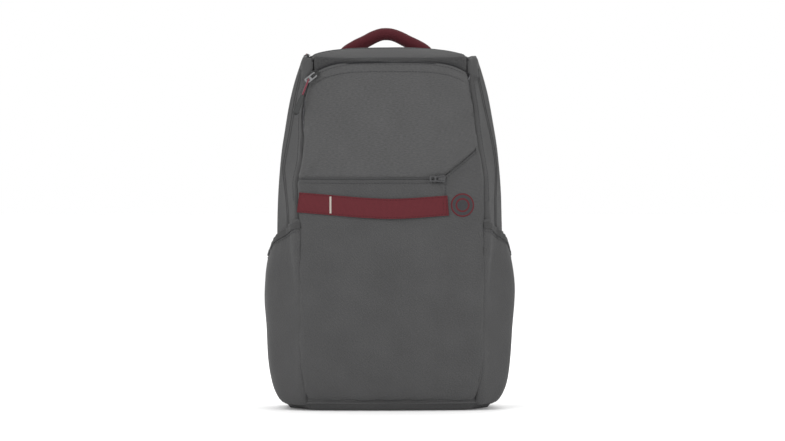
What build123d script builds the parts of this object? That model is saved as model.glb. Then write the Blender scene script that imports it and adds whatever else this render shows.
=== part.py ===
"""A soft travel backpack, in millimetres.

The pack stands on its base with its front towards -Y and its shoulder straps towards +Y. The origin is the
centre of the base, on the surface that the pack stands on. Sewn panels are cut from one hollow skin, so that
neighbouring panels meet face to face along their seams.
"""

import math
import os

from build123d import *

os.makedirs("parts", exist_ok=True)

# ---------------------------------------------------------------- driving dimensions
WALL = 3.0  # shell fabric, foam and lining together
BACK_Y = 80.0  # outer face of the back panel
SIDE_Y = -6.0  # where the gusset is widest
SIDE_TAPER = 6.0  # how much narrower the back seam is than the widest place, each side
FRONT_BOW = 10.0  # how far the front panel bows forward between its seams
TOP_Z = 452.5  # crown of the pack
BASE_SEAM_Z = 12.0
REACH = 600.0  # longer than the pack, for cutting tools
FIT = 0.3  # gap between pieces of different bodies

# Plan sections: height, half width of the front panel, half width at the widest, front face
SECTIONS = [
    (0, 98, 122, -66),
    (14, 108, 133, -76),
    (60, 115, 137, -86),
    (170, 117, 138, -90),
    (285, 116, 139, -82),
    (350, 108, 132, -70),
    (400, 103, 123, -56),
    (430, 97, 113, -45),
    (462, 86, 98, -32),
]

# Lid and its zip
LID_HINGE_Y = 45.0
LID_HALF = 102.0  # zip line at the lid's short sides
ZIP_CORNER_Z = 420.0
ZIP_CROWN_Z = 438.0
ZIP_BAND = 5.6  # from the zip's centre line to the lid's edge
ZIP_RADIUS = (LID_HALF**2 + (ZIP_CROWN_Z - ZIP_CORNER_Z) ** 2) / (2 * (ZIP_CROWN_Z - ZIP_CORNER_Z))

# Front pocket
POCKET_LINE_Z = 291.0
POCKET_END_X = 67.0
SWEEP_RISE = 76.0  # the swept seam's rise beyond the pocket's end

# Side pockets
POCKET_HALF = 155.0
POCKET_TOP_FRONT_Z = 250.0
POCKET_TOP_BACK_Z = 204.0
POCKET_WALL = 2.4
BINDING = 9.0

# Webbing on the front
COVER = 1.6  # webbing, patches and zip tape lie on the skin, this thick
STRAP_END_X = 69.0
PATCH_X, PATCH_Z, PATCH_RADIUS = 88.0, 258.0, 15.0

# Zip hardware, in its own frame: X along the zip, Z away from the bag
SLIDER_LENGTH, SLIDER_WIDTH, PLATE = 11.0, 9.0, 2.0
BRIDGE_HALF, BRIDGE_WIDTH, BRIDGE_TOP = 4.6, 3.0, 6.2
PIVOT = 3.6  # height of the puller's bar above the bag
PULL_CORD = 2.2
PULL_LENGTH, TAB_TOP, TAB_WIDTH = 48.0, 5.0, 7.6  # cord and tab from the puller's slot

# Back pads and harness
PAD_THICK = 11.0
YOKE_THICK = 3.0
STRAP_INNER_Y, STRAP_OUTER_Y = 98.0, 110.0
STRAP_TOP_Z, STRAP_FOOT_Z = 426.0, 194.0
RAIL_X, RAIL_WIDTH, RAIL_LOW_Z, RAIL_HIGH_Z = 66.0, 8.0, 282.0, 386.0
STERNUM_Z = 334.0
STERNUM_LENGTH = 90.0


def save(part, name):
    """Labels a finished piece and writes it to its own file."""
    part.label = name
    export_step(part, f"parts/{name}.step")


def save_pair(part, name):
    """Writes a right-hand piece and its mirror image as NAME_right and NAME_left."""
    save(part, f"{name}_right")
    save(mirror(part, about=Plane.YZ), f"{name}_left")


# ---------------------------------------------------------------- the pack's skin
def plan_section(height, front_half, side_half, front_y, inset):
    """One horizontal section of the pack, inset from its outer face."""
    front, side, face, back = front_half - inset, side_half - inset, front_y + inset, BACK_Y - inset
    seam_y = face + FRONT_BOW
    with BuildSketch(Plane.XY.offset(height)) as section:
        with BuildLine():
            ThreePointArc((-front, seam_y), (0, face), (front, seam_y))
            Polyline(
                (front, seam_y),
                (side, SIDE_Y),
                (side - SIDE_TAPER, back),
                (SIDE_TAPER - side, back),
                (-side, SIDE_Y),
                (-front, seam_y),
            )
        make_face()
        corners = section.vertices().sort_by(Axis.Y)
        fillet(corners[4:], radius=12)
        fillet(section.vertices().group_by(Axis.Y)[0], radius=14)
    return section.sketch


def pack_solid(inset):
    """The pack's closed outer form, or its inside when inset is the wall."""
    with BuildPart() as form:
        loft(sections=[plan_section(*row, inset) for row in SECTIONS])
        with BuildSketch(Plane.YZ):  # side view: a crown that falls to the front and rounds off behind
            with BuildLine():
                ThreePointArc((-75, 424 - inset), (-10, 446 - inset), (50, TOP_Z - inset))
                Line((50, TOP_Z - inset), (66, TOP_Z - inset))
                TangentArc((66, TOP_Z - inset), (BACK_Y + 4 - inset, 436), tangent=(1, 0))
                Polyline((BACK_Y + 4 - inset, 436), (BACK_Y + 4, inset), (-120, inset))
                Polyline((-120, inset), (-120, 400), (-75, 424 - inset))
            make_face()
        extrude(amount=REACH, both=True, mode=Mode.INTERSECT)
        with BuildSketch(Plane.XZ):  # front view: soft shoulders
            with BuildLine():
                Spline(
                    (-132, 396 - inset),
                    (-112, 434 - inset),
                    (-60, TOP_Z - 2 - inset),
                    (0, TOP_Z - inset),
                    (60, TOP_Z - 2 - inset),
                    (112, 434 - inset),
                    (132, 396 - inset),
                )
                Polyline((132, 396 - inset), (160, 380), (160, 0), (-160, 0), (-160, 380), (-132, 396 - inset))
            make_face()
        extrude(amount=REACH, both=True, mode=Mode.INTERSECT)
    return form.part


outer = pack_solid(0)
inner = pack_solid(WALL)

with BuildPart() as skin:
    add(outer)
    add(inner, mode=Mode.SUBTRACT)


# ---------------------------------------------------------------- cutting tools, as seen from the front
def front_face():
    """The front panel's outline between its seams, up to the zip."""
    seam = [(row[1], row[0]) for row in SECTIONS[2:8]]
    with BuildSketch(Plane.XZ) as outline:
        with BuildLine():
            Spline(*seam)
            Line(seam[-1], (seam[-1][0], ZIP_CORNER_Z + 40))
            Line((seam[-1][0], ZIP_CORNER_Z + 40), (-seam[-1][0], ZIP_CORNER_Z + 40))
            Line((-seam[-1][0], ZIP_CORNER_Z + 40), (-seam[-1][0], seam[-1][1]))
            Spline(*[(-x, z) for x, z in reversed(seam)])
            TangentArc((-seam[0][0], seam[0][1]), (-84, BASE_SEAM_Z), tangent=(0.15, -1))
            Line((-84, BASE_SEAM_Z), (84, BASE_SEAM_Z))
            TangentArc((seam[0][0], seam[0][1]), (84, BASE_SEAM_Z), tangent=(-0.15, -1))
        make_face()
    return outline.sketch


def lid_face(band):
    """What lies above the zip line and inside the lid's short sides, less a band all round."""
    half, corner, crown = LID_HALF - band, ZIP_CORNER_Z + band, ZIP_CROWN_Z + band
    with BuildSketch(Plane.XZ) as outline:
        with BuildLine():
            ThreePointArc((-half, corner), (0, crown), (half, corner))
            Polyline((half, corner), (half, TOP_Z + 20), (-half, TOP_Z + 20), (-half, corner))
        make_face()
    return outline.sketch


def below_pocket_line(offset):
    """The lower front: below the pocket's mouth, sweeping up to the right-hand seam."""
    line_z = POCKET_LINE_Z + offset
    with BuildSketch(Plane.XZ) as outline:
        with BuildLine():
            FilletPolyline((-150, line_z), (POCKET_END_X - 6, line_z), (150, line_z + SWEEP_RISE), radius=24)
            Polyline((150, line_z + SWEEP_RISE), (150, 0), (-150, 0), (-150, line_z))
        make_face()
    return outline.sketch


with BuildPart() as front_prism:
    extrude(front_face(), amount=150)
with BuildPart() as top_prism:
    extrude(lid_face(0), amount=REACH, both=True)
with BuildPart() as base_slab:
    with Locations((0, 0, BASE_SEAM_Z / 2)):
        Box(400, 400, BASE_SEAM_Z)
with BuildPart() as back_slab:
    with Locations((0, BACK_Y - WALL + 100, REACH / 2)):
        Box(400, 200, REACH)

# ---------------------------------------------------------------- sewn panels
with BuildPart() as bottom_panel:
    add(skin.part)
    add(base_slab.part, mode=Mode.INTERSECT)
save(bottom_panel.part, "bottom_panel")

with BuildPart() as back_panel:
    add(skin.part)
    add(back_slab.part, mode=Mode.INTERSECT)
    add([base_slab.part, top_prism.part], mode=Mode.SUBTRACT)
save(back_panel.part, "back_panel")

with BuildPart() as front_skin:
    add(skin.part)
    add(front_prism.part, mode=Mode.INTERSECT)
    add([base_slab.part, top_prism.part], mode=Mode.SUBTRACT)

with BuildPart() as front_panel_lower:
    add(front_skin.part)
    extrude(below_pocket_line(0), amount=150, mode=Mode.INTERSECT)
save(front_panel_lower.part, "front_panel_lower")

with BuildPart() as front_panel_upper:
    add(front_skin.part)
    extrude(below_pocket_line(FIT), amount=150, mode=Mode.SUBTRACT)
save(front_panel_upper.part, "front_panel_upper")

with BuildPart() as gusset_right:
    add(skin.part)
    add([base_slab.part, back_slab.part, front_prism.part, top_prism.part], mode=Mode.SUBTRACT)
    with Locations((200, 0, 200)):
        Box(400, 400, REACH, mode=Mode.INTERSECT)
save_pair(gusset_right.part, "side_gusset")

with BuildPart() as yoke_panel:
    add(skin.part)
    add(top_prism.part, mode=Mode.INTERSECT)
    with Locations((0, LID_HINGE_Y + FIT + 100, TOP_Z)):
        Box(400, 200, 200, mode=Mode.INTERSECT)
save(yoke_panel.part, "yoke_panel")

with BuildPart() as lid_panel:
    add(skin.part)
    extrude(lid_face(ZIP_BAND), amount=REACH, both=True, mode=Mode.INTERSECT)
    with Locations((0, LID_HINGE_Y - 200, TOP_Z)):
        Box(400, 400, 200, mode=Mode.INTERSECT)
save(lid_panel.part, "lid_panel")

with BuildPart() as main_zip:
    add(skin.part)
    add(top_prism.part, mode=Mode.INTERSECT)
    extrude(lid_face(ZIP_BAND - FIT), amount=REACH, both=True, mode=Mode.SUBTRACT)
    with Locations((0, LID_HINGE_Y - 200, TOP_Z)):
        Box(400, 400, 200, mode=Mode.INTERSECT)
save(main_zip.part, "main_zip")

# ---------------------------------------------------------------- what the skin holds
with BuildPart() as bottom_board:
    with Locations((0, 8, WALL + 1.4)):
        Box(190, 112, 2.4)
    fillet(bottom_board.edges().filter_by(Axis.Z), radius=18)
save(bottom_board.part, "bottom_board")

with BuildPart() as back_frame_sheet:
    with Locations((0, BACK_Y - WALL - 1.2, 214)):
        Box(210, 1.6, 370)
    fillet(back_frame_sheet.edges().filter_by(Axis.Y), radius=24)
save(back_frame_sheet.part, "back_frame_sheet")

with BuildPart() as laptop_divider:
    with Locations((0, 48, 158)):
        Box(240, 6, 296)
    fillet(laptop_divider.edges().filter_by(Axis.Y).group_by(Axis.Z)[-1], radius=20)
    fillet(laptop_divider.edges().group_by(Axis.Z)[-1], radius=2)
save(laptop_divider.part, "laptop_divider")

with BuildPart() as front_pocket_pouch:
    with Locations((0, -64, 185)):
        Box(168, 14, 190)
    with Locations((0, -64, 187)):
        Box(164, 10, 190, mode=Mode.SUBTRACT)
save(front_pocket_pouch.part, "front_pocket_pouch")

# ---------------------------------------------------------------- side pockets
def pocket_section(height, side_half, front_y, inset):
    """Half of the pack's plan, pushed out sideways to hold a bottle."""
    side = side_half - inset
    with BuildSketch(Plane.XY.offset(height)) as section:
        with BuildLine():
            Polyline((60, front_y + inset), (112 - inset, front_y + 2 + inset), (side, -40))
            ThreePointArc((side, -40), (side + 3, 0), (side, 40))
            Polyline((side, 40), (136 - inset, BACK_Y - 3 - inset), (60, BACK_Y - 3 - inset), (60, front_y + inset))
        make_face()
        fillet(section.vertices().group_by(Axis.X)[-1], radius=20)
    return section.sketch


def pocket_solid(inset):
    """The pocket's outer form, or its inside when inset is its wall."""
    rows = [(4 + inset, 126, -62), (24, 141, -70), (60, 149, -75), (110, 152, -77), (180, 152, -77)]
    rows += [(212, 143, -76), (262, 140, -72)]
    with BuildPart() as form:
        loft(sections=[pocket_section(height, side, front, inset) for height, side, front in rows])
    return form.part


def mouth_cut(drop):
    """Everything above the pocket's sloping mouth, lowered by drop."""
    with BuildSketch(Plane.YZ) as outline:
        with BuildLine():
            Polyline(
                (-110, POCKET_TOP_FRONT_Z + 8 - drop),
                (-60, POCKET_TOP_FRONT_Z - 8 - drop),
                (20, POCKET_TOP_BACK_Z - drop),
                (110, POCKET_TOP_BACK_Z - drop),
                (110, 420),
                (-110, 420),
                (-110, POCKET_TOP_FRONT_Z + 8 - drop),
            )
        make_face()
    return outline.sketch


with BuildPart() as pocket_wall:
    add(pocket_solid(0))
    add([pocket_solid(POCKET_WALL), outer], mode=Mode.SUBTRACT)

with BuildPart() as side_pocket:
    add(pocket_wall.part)
    extrude(mouth_cut(BINDING), amount=REACH, both=True, mode=Mode.SUBTRACT)
save_pair(side_pocket.part, "side_pocket")

with BuildPart() as pocket_binding:
    add(pocket_wall.part)
    extrude(mouth_cut(BINDING), amount=REACH, both=True, mode=Mode.INTERSECT)
    extrude(mouth_cut(0), amount=REACH, both=True, mode=Mode.SUBTRACT)
save_pair(pocket_binding.part, "pocket_binding")

# ---------------------------------------------------------------- what lies on the skin
with BuildPart() as cover:
    add(pack_solid(-COVER))
    add(outer, mode=Mode.SUBTRACT)
    with Locations((0, -200, REACH / 2)):
        Box(REACH, 400, REACH, mode=Mode.INTERSECT)


def on_front(outline):
    """The part of the cover that shows through an outline drawn on the front view."""
    with BuildPart() as piece:
        add(cover.part)
        extrude(outline, amount=150, mode=Mode.INTERSECT)
    return piece.part


def band(points_above, points_below):
    """A strip on the front view between two smooth edges."""
    with BuildSketch(Plane.XZ) as outline:
        with BuildLine():
            Spline(*points_above)
            Line(points_above[-1], points_below[-1])
            Spline(*points_below)
            Line(points_below[0], points_above[0])
        make_face()
    return outline.sketch


strap_above = [(-116, 272.8), (-77, 271), (-30, 267), (10, 266.2), (STRAP_END_X, 269.6)]
strap_below = [(-116, 249.8), (-77, 245), (-30, 241.6), (10, 240.8), (STRAP_END_X, 245)]
save(on_front(band(strap_above, strap_below)), "front_strap")

FLAP_TOP_Z = POCKET_LINE_Z - SLIDER_WIDTH / 2 - 0.6
flap_above = [(-115, FLAP_TOP_Z), (0, FLAP_TOP_Z), (POCKET_END_X - 4, FLAP_TOP_Z)]
flap_below = [(-115, 274.6), (-77, 272.6), (-20, 268), (POCKET_END_X - 4, 271.4)]
save(on_front(band(flap_above, flap_below)), "front_pocket_flap")

tape_above, tape_below = (
    [(-114, z), (0, z), (POCKET_END_X + 4, z)] for z in (POCKET_LINE_Z + 3, POCKET_LINE_Z - 3)
)
save(on_front(band(tape_above, tape_below)), "front_zip_tape")

with BuildSketch(Plane.XZ) as patch_outline:
    with Locations((PATCH_X, PATCH_Z)):
        Circle(PATCH_RADIUS)
save(on_front(patch_outline.sketch), "round_patch")


def front_y(x, z):
    """Where a line along Y first meets the pack's front."""
    ray = Edge.make_line((x, -200, z), (x, 0, z))
    return min(vertex.Y for vertex in (outer & ray).vertices())


def zip_arc(share):
    """A point on the front view's zip line, from the left corner (0) to the right corner (1)."""
    half_turn = math.asin(LID_HALF / ZIP_RADIUS)
    angle = (2 * share - 1) * half_turn
    return ZIP_RADIUS * math.sin(angle), ZIP_CROWN_Z - ZIP_RADIUS + ZIP_RADIUS * math.cos(angle)


# The teeth stand in one flat plane, so that a slider can run round them on one arc
BELOW = Vector(0, -SLIDER_WIDTH / 2 - 1.5)
zip_places = [Vector(*zip_arc(share / 20)) + BELOW for share in range(2, 19)]
TEETH_Y = min(front_y(place.X, place.Y) for place in zip_places) - 0.2
with BuildPart() as main_zip_teeth:
    with BuildSketch(Plane.XZ.offset(-TEETH_Y)):
        with BuildLine():
            RadiusArc((-LID_HALF, ZIP_CORNER_Z + 1.5), (LID_HALF, ZIP_CORNER_Z + 1.5), ZIP_RADIUS)
            Line((LID_HALF, ZIP_CORNER_Z + 1.5), (LID_HALF, ZIP_CORNER_Z - 3))
            RadiusArc((LID_HALF, ZIP_CORNER_Z - 3), (-LID_HALF, ZIP_CORNER_Z - 3), -ZIP_RADIUS)
            Line((-LID_HALF, ZIP_CORNER_Z - 3), (-LID_HALF, ZIP_CORNER_Z + 1.5))
        make_face()
    extrude(amount=-10)
    add(outer, mode=Mode.SUBTRACT)
save(main_zip_teeth.part, "main_zip_teeth")

# ---------------------------------------------------------------- zip hardware
with BuildPart() as zip_slider:
    with BuildSketch():
        RectangleRounded(SLIDER_LENGTH, SLIDER_WIDTH, 2.5)
    extrude(amount=PLATE)
    with Locations((0, 0, PLATE)):
        Box(2 * BRIDGE_HALF, BRIDGE_WIDTH, BRIDGE_TOP - PLATE, align=(Align.CENTER, Align.CENTER, Align.MIN))
    fillet(zip_slider.edges().filter_by(Axis.Y).group_by(Axis.Z)[-1], radius=1.2)
    with Locations((0, 0, PLATE)):
        Box(2 * BRIDGE_HALF - 2.4, 20, 3.1, align=(Align.CENTER, Align.CENTER, Align.MIN), mode=Mode.SUBTRACT)

with BuildPart() as zip_puller:
    with BuildSketch(Plane.XY.offset(PIVOT - 0.7)):
        with Locations((7.2, 0)):
            RectangleRounded(16, 7, 1.6)
        with Locations((3.7, 0)):
            Rectangle(5.8, 3.8, mode=Mode.SUBTRACT)
        with Locations((11, 0)):
            RectangleRounded(4, 4, 0.8, mode=Mode.SUBTRACT)
    extrude(amount=1.4)



def build_pull(name, aside, rise):
    """A doubled cord through the puller's slot, moulded into a tab. It turns aside by an angle in degrees
    and its tab stands out from the bag by a slope."""
    near, far = PIVOT + rise * 20, PIVOT + rise * PULL_LENGTH
    turn = math.radians(aside)
    run = Plane(origin=(10.8, 0, 0), x_dir=(math.cos(turn), math.sin(turn), 0), z_dir=(0, 0, 1))
    with BuildPart() as cord:
        with BuildLine(run) as path:
            FilletPolyline(
                (20, 0, near + 1.15),
                (0, 0, PIVOT + 2.2),
                (0, 0, PIVOT - 2.2),
                (5.8, 0, PIVOT - 2.0),
                (20, 0, near - 1.15),
                radius=2.1,
            )
        with BuildSketch(Plane(origin=path.line @ 0, z_dir=path.line % 0)):
            Circle(PULL_CORD / 2)
        sweep()
    with BuildPart() as tab:
        with BuildSketch(run):
            with BuildLine():
                Polyline((20.6, TAB_TOP / 2), (PULL_LENGTH - 3, TAB_WIDTH / 2), (PULL_LENGTH, TAB_WIDTH / 2 - 3))
                Polyline((PULL_LENGTH, TAB_WIDTH / 2 - 3), (PULL_LENGTH, 3 - TAB_WIDTH / 2))
                Polyline((PULL_LENGTH, 3 - TAB_WIDTH / 2), (PULL_LENGTH - 3, -TAB_WIDTH / 2), (20.6, -TAB_TOP / 2))
                Line((20.6, -TAB_TOP / 2), (20.6, TAB_TOP / 2))
            make_face()
        extrude(amount=80)
        with BuildSketch(Plane(run.origin, x_dir=run.x_dir, z_dir=-run.y_dir)) as side:
            with BuildLine():
                Polyline((20, near + 2.4), (20, near - 2.4), (PULL_LENGTH + 1, far - 1.6))
                Polyline((PULL_LENGTH + 1, far - 1.6), (PULL_LENGTH + 1, far + 1.6), (20, near + 2.4))
            make_face()
        extrude(side.sketch, amount=20, both=True, mode=Mode.INTERSECT)
    length = path.wires()[0].length
    print(name, "pull cord length", round(length, 2), "volume", round(cord.part.volume, 2))
    return cord.part, tab.part


def place_zip_hardware(plane, name, pull=None):
    """Writes one slider and its puller where the plane puts them, with the cord and tab if it has them."""
    save(plane.location * zip_slider.part, f"{name}_slider")
    save(plane.location * zip_puller.part, f"{name}_puller")
    if pull:
        cord, tab = build_pull(name, *pull)
        save(plane.location * cord, f"{name}_pull_cord")
        save(plane.location * tab, f"{name}_pull_tab")


RIDE = 0.5  # under each slider
corner_x, corner_z = zip_arc(0.035)
corner_plane = Plane(
    origin=(corner_x, TEETH_Y - RIDE, corner_z - 1), x_dir=(-0.78, 0, -0.62), z_dir=(0, -1, 0)
)
place_zip_hardware(corner_plane, "main_front", (30, 0.29))

side_lean = math.radians(24)
side_plane = Plane(
    origin=(-101.8, -9, 440.6), x_dir=(0, 1, 0), z_dir=(-math.sin(side_lean), 0, math.cos(side_lean))
)
place_zip_hardware(side_plane, "main_side", (0, 0))

# The pocket's slider runs on an arc about an upright line behind the pack
ZIP_MID_Y, ZIP_FAR_Y = (front_y(x, POCKET_LINE_Z - SLIDER_WIDTH / 2) for x in (0, 100))
POCKET_ZIP_RADIUS = (100**2 + (ZIP_FAR_Y - ZIP_MID_Y) ** 2) / (2 * (ZIP_FAR_Y - ZIP_MID_Y))
park = math.asin((POCKET_END_X - 6) / POCKET_ZIP_RADIUS)
ride_radius = POCKET_ZIP_RADIUS + COVER + RIDE
pocket_zip_plane = Plane(
    origin=(
        ride_radius * math.sin(park),
        ZIP_MID_Y + POCKET_ZIP_RADIUS - ride_radius * math.cos(park),
        POCKET_LINE_Z,
    ),
    x_dir=(-math.cos(park), -math.sin(park), 0),
    z_dir=(math.sin(park), -math.cos(park), 0),
)
place_zip_hardware(pocket_zip_plane, "front_pocket")
print("teeth plane y", round(TEETH_Y, 2), "zip centre z", round(ZIP_CROWN_Z - ZIP_RADIUS, 2))
print("pocket zip centre y", round(ZIP_MID_Y + POCKET_ZIP_RADIUS, 2))
for name, plane in (("corner", corner_plane), ("side", side_plane), ("pocket", pocket_zip_plane)):
    print(name, "puller pivot", plane.from_local_coords((0, 0, PIVOT)), "axis", -plane.y_dir)

# ---------------------------------------------------------------- grab handle
with BuildPart() as handle_grip:
    with BuildSketch(Plane.XZ.offset(-88)):
        with BuildLine():
            Polyline((-34, 440), (-66, 440), (-62, 448))
            ThreePointArc((-62, 448), (0, 479), (62, 448))
            Polyline((62, 448), (66, 440), (34, 440))
            ThreePointArc((34, 440), (0, 463), (-34, 440))
        make_face()
    extrude(amount=6.5, both=True)
    fillet(handle_grip.edges().filter_by(GeomType.CIRCLE), radius=5)
save(handle_grip.part, "handle_grip")

with BuildPart() as handle_tab:
    with Locations((50, BACK_Y + 2, 433)):
        Box(28, 4, 13)
    fillet(handle_tab.edges().filter_by(Axis.Y), radius=3)
save_pair(handle_tab.part, "handle_tab")

# ---------------------------------------------------------------- back pads
with BuildPart() as back_pad:
    with Locations((57, BACK_Y + PAD_THICK / 2, 252)):
        Box(86, PAD_THICK, 290)
    fillet(back_pad.edges().filter_by(Axis.Y), radius=22)
    fillet(back_pad.faces().sort_by(Axis.Y)[-1].edges(), radius=7)
save_pair(back_pad.part, "back_pad")

with BuildPart() as lumbar_pad:
    with Locations((0, BACK_Y + PAD_THICK / 2, 66)):
        Box(200, PAD_THICK, 62)
    fillet(lumbar_pad.edges().filter_by(Axis.Y), radius=20)
    fillet(lumbar_pad.faces().sort_by(Axis.Y)[-1].edges(), radius=7)
save(lumbar_pad.part, "lumbar_pad")

# ---------------------------------------------------------------- harness, right side
def strap_outline():
    """The shoulder strap from behind: it starts near the neck and sweeps out to the side."""
    with BuildSketch(Plane.XZ) as outline:
        with BuildLine():
            Spline((92, STRAP_TOP_Z), (93, 370), (97, 300), (112, 235), (131, STRAP_FOOT_Z))
            Line((131, STRAP_FOOT_Z), (98, STRAP_FOOT_Z))
            Spline((98, STRAP_FOOT_Z), (82, 230), (55, 290), (41, 360), (38, STRAP_TOP_Z))
            Line((38, STRAP_TOP_Z), (92, STRAP_TOP_Z))
        make_face()
    return outline.sketch


with BuildPart() as shoulder_pad:
    with BuildSketch(Plane.YZ):
        with BuildLine():
            edge_in = Bezier(
                (BACK_Y + YOKE_THICK + FIT, 418), (STRAP_INNER_Y - 4, 414), (STRAP_INNER_Y, 404), (STRAP_INNER_Y, 390)
            )
            Polyline(edge_in @ 1, (STRAP_INNER_Y, 230), (STRAP_INNER_Y - 4, STRAP_FOOT_Z), (STRAP_OUTER_Y - 6, STRAP_FOOT_Z))
            Polyline((STRAP_OUTER_Y - 6, STRAP_FOOT_Z), (STRAP_OUTER_Y, 230), (STRAP_OUTER_Y, 392))
            Bezier(
                (STRAP_OUTER_Y, 392), (STRAP_OUTER_Y, 412), (STRAP_OUTER_Y - 10, 424), (BACK_Y + YOKE_THICK + FIT, STRAP_TOP_Z)
            )
            Line((BACK_Y + YOKE_THICK + FIT, STRAP_TOP_Z), edge_in @ 0)
        make_face()
    extrude(amount=200)
    extrude(strap_outline(), amount=REACH, both=True, mode=Mode.INTERSECT)
save_pair(shoulder_pad.part, "shoulder_pad")

with BuildPart() as harness_yoke:
    with Locations((0, BACK_Y + YOKE_THICK / 2, 412)):
        Box(204, YOKE_THICK, 24)
    fillet(harness_yoke.edges().filter_by(Axis.Y), radius=8)
save(harness_yoke.part, "harness_yoke")

with BuildPart() as ladder_lock:
    with BuildSketch(Plane.XZ.offset(-STRAP_OUTER_Y + 4)):
        with Locations((114.5, STRAP_FOOT_Z - 14)):
            RectangleRounded(34, 24, 4)
        with Locations((114.5, STRAP_FOOT_Z - 7), (114.5, STRAP_FOOT_Z - 18)):
            Rectangle(26, 5, mode=Mode.SUBTRACT)
    extrude(amount=5)
save_pair(ladder_lock.part, "ladder_lock")


def lower_strip(low, high, inner_y_low, inner_y_high, offset):
    """A straight stretch of webbing, seen from the side and from behind."""
    with BuildPart() as strip:
        with BuildSketch(Plane.YZ):
            with BuildLine():
                Polyline(
                    (inner_y_low, low),
                    (inner_y_high, high),
                    (inner_y_high + COVER, high),
                    (inner_y_low + COVER, low),
                    (inner_y_low, low),
                )
            make_face()
        extrude(amount=200)
        with BuildSketch(Plane.XZ):
            with BuildLine():
                Polyline((102, high), (127, high), (127 + offset, low), (102 + offset, low), (102, high))
            make_face()
        extrude(amount=REACH, both=True, mode=Mode.INTERSECT)
    return strip.part


save_pair(lower_strip(44, STRAP_FOOT_Z - 27, 86, 100, 14), "strap_webbing")
save_pair(lower_strip(72, STRAP_FOOT_Z - 27, 105, 104, 0), "strap_tail")

with BuildPart() as foot_tab:
    with BuildSketch(Plane.XZ.offset(-BACK_Y)):
        with BuildLine():
            Polyline((104, 16), (129, 16), (129, 24), (141, 43), (116, 43), (104, 24), (104, 16))
        make_face()
    extrude(amount=-4)
save_pair(foot_tab.part, "foot_tab")

# ---------------------------------------------------------------- sternum strap, right side
with BuildPart() as sternum_rail:
    with Locations((RAIL_X, STRAP_OUTER_Y + COVER / 2, (RAIL_LOW_Z + RAIL_HIGH_Z) / 2)):
        Box(RAIL_WIDTH, COVER, RAIL_HIGH_Z - RAIL_LOW_Z)
save_pair(sternum_rail.part, "sternum_rail")

with BuildPart() as sternum_slider:
    with Locations((RAIL_X, STRAP_OUTER_Y + FIT, STERNUM_Z)):
        Box(22, 6, 14, align=(Align.CENTER, Align.MIN, Align.CENTER))
    fillet(sternum_slider.edges().filter_by(Axis.Y), radius=3)
    with Locations((RAIL_X, STRAP_OUTER_Y, STERNUM_Z)):
        Box(RAIL_WIDTH + 2 * FIT, 2.2, 20, align=(Align.CENTER, Align.MIN, Align.CENTER), mode=Mode.SUBTRACT)
save_pair(sternum_slider.part, "sternum_slider")

HANG_TOP = STERNUM_Z - 9
with BuildPart() as sternum_webbing:
    with Locations((RAIL_X, STRAP_OUTER_Y + 4, HANG_TOP)):
        Box(20, COVER, STERNUM_LENGTH, align=(Align.CENTER, Align.CENTER, Align.MAX))
save_pair(sternum_webbing.part, "sternum_webbing")

BUCKLE_TOP = HANG_TOP - STERNUM_LENGTH
with BuildPart() as buckle_socket:
    with BuildSketch(Plane.XZ.offset(-STRAP_OUTER_Y - 1)):
        with Locations((RAIL_X, BUCKLE_TOP - 14)):
            RectangleRounded(28, 28, 5)
    extrude(amount=-7)
    with Locations((RAIL_X, STRAP_OUTER_Y + 4.5, BUCKLE_TOP - 28)):
        Box(18, 4, 40, mode=Mode.SUBTRACT)
save(buckle_socket.part, "sternum_buckle_socket")

with BuildPart() as buckle_plug:
    with BuildSketch(Plane.XZ.offset(-STRAP_OUTER_Y - 3)):
        with Locations((-RAIL_X, BUCKLE_TOP - 6)):
            RectangleRounded(28, 12, 3)
        with Locations((-RAIL_X - 7, BUCKLE_TOP - 20), (-RAIL_X, BUCKLE_TOP - 20), (-RAIL_X + 7, BUCKLE_TOP - 20)):
            Rectangle(3, 20)
    extrude(amount=-3)
save(buckle_plug.part, "sternum_buckle_plug")
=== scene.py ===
"""The looks of a soft travel backpack: fabric, webbing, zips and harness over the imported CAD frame, in metres."""

import math

import bmesh
import bpy
import numpy as np
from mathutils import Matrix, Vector, noise
from mathutils.bvhtree import BVHTree


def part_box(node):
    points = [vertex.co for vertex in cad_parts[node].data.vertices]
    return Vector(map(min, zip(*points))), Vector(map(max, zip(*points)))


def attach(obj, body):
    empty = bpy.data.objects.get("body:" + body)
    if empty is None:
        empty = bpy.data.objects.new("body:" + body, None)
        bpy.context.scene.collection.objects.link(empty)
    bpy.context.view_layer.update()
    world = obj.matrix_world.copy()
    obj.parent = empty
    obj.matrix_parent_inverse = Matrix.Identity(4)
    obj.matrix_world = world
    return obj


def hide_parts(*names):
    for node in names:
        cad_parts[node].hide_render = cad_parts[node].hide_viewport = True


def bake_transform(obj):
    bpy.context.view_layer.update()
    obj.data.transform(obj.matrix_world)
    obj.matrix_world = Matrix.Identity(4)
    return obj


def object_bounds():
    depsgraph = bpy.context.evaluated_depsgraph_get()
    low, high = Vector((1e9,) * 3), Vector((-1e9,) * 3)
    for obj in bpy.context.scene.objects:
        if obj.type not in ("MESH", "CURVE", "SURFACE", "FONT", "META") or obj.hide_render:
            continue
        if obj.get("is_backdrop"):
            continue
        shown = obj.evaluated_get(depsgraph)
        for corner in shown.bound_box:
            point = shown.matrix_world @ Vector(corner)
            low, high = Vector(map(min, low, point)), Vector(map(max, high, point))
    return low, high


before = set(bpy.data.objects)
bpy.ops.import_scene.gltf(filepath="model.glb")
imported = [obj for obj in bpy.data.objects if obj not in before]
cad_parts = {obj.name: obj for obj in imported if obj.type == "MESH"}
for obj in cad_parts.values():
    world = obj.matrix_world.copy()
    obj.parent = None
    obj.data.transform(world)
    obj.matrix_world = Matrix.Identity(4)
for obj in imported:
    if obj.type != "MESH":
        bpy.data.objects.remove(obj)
cad_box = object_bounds()

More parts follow.
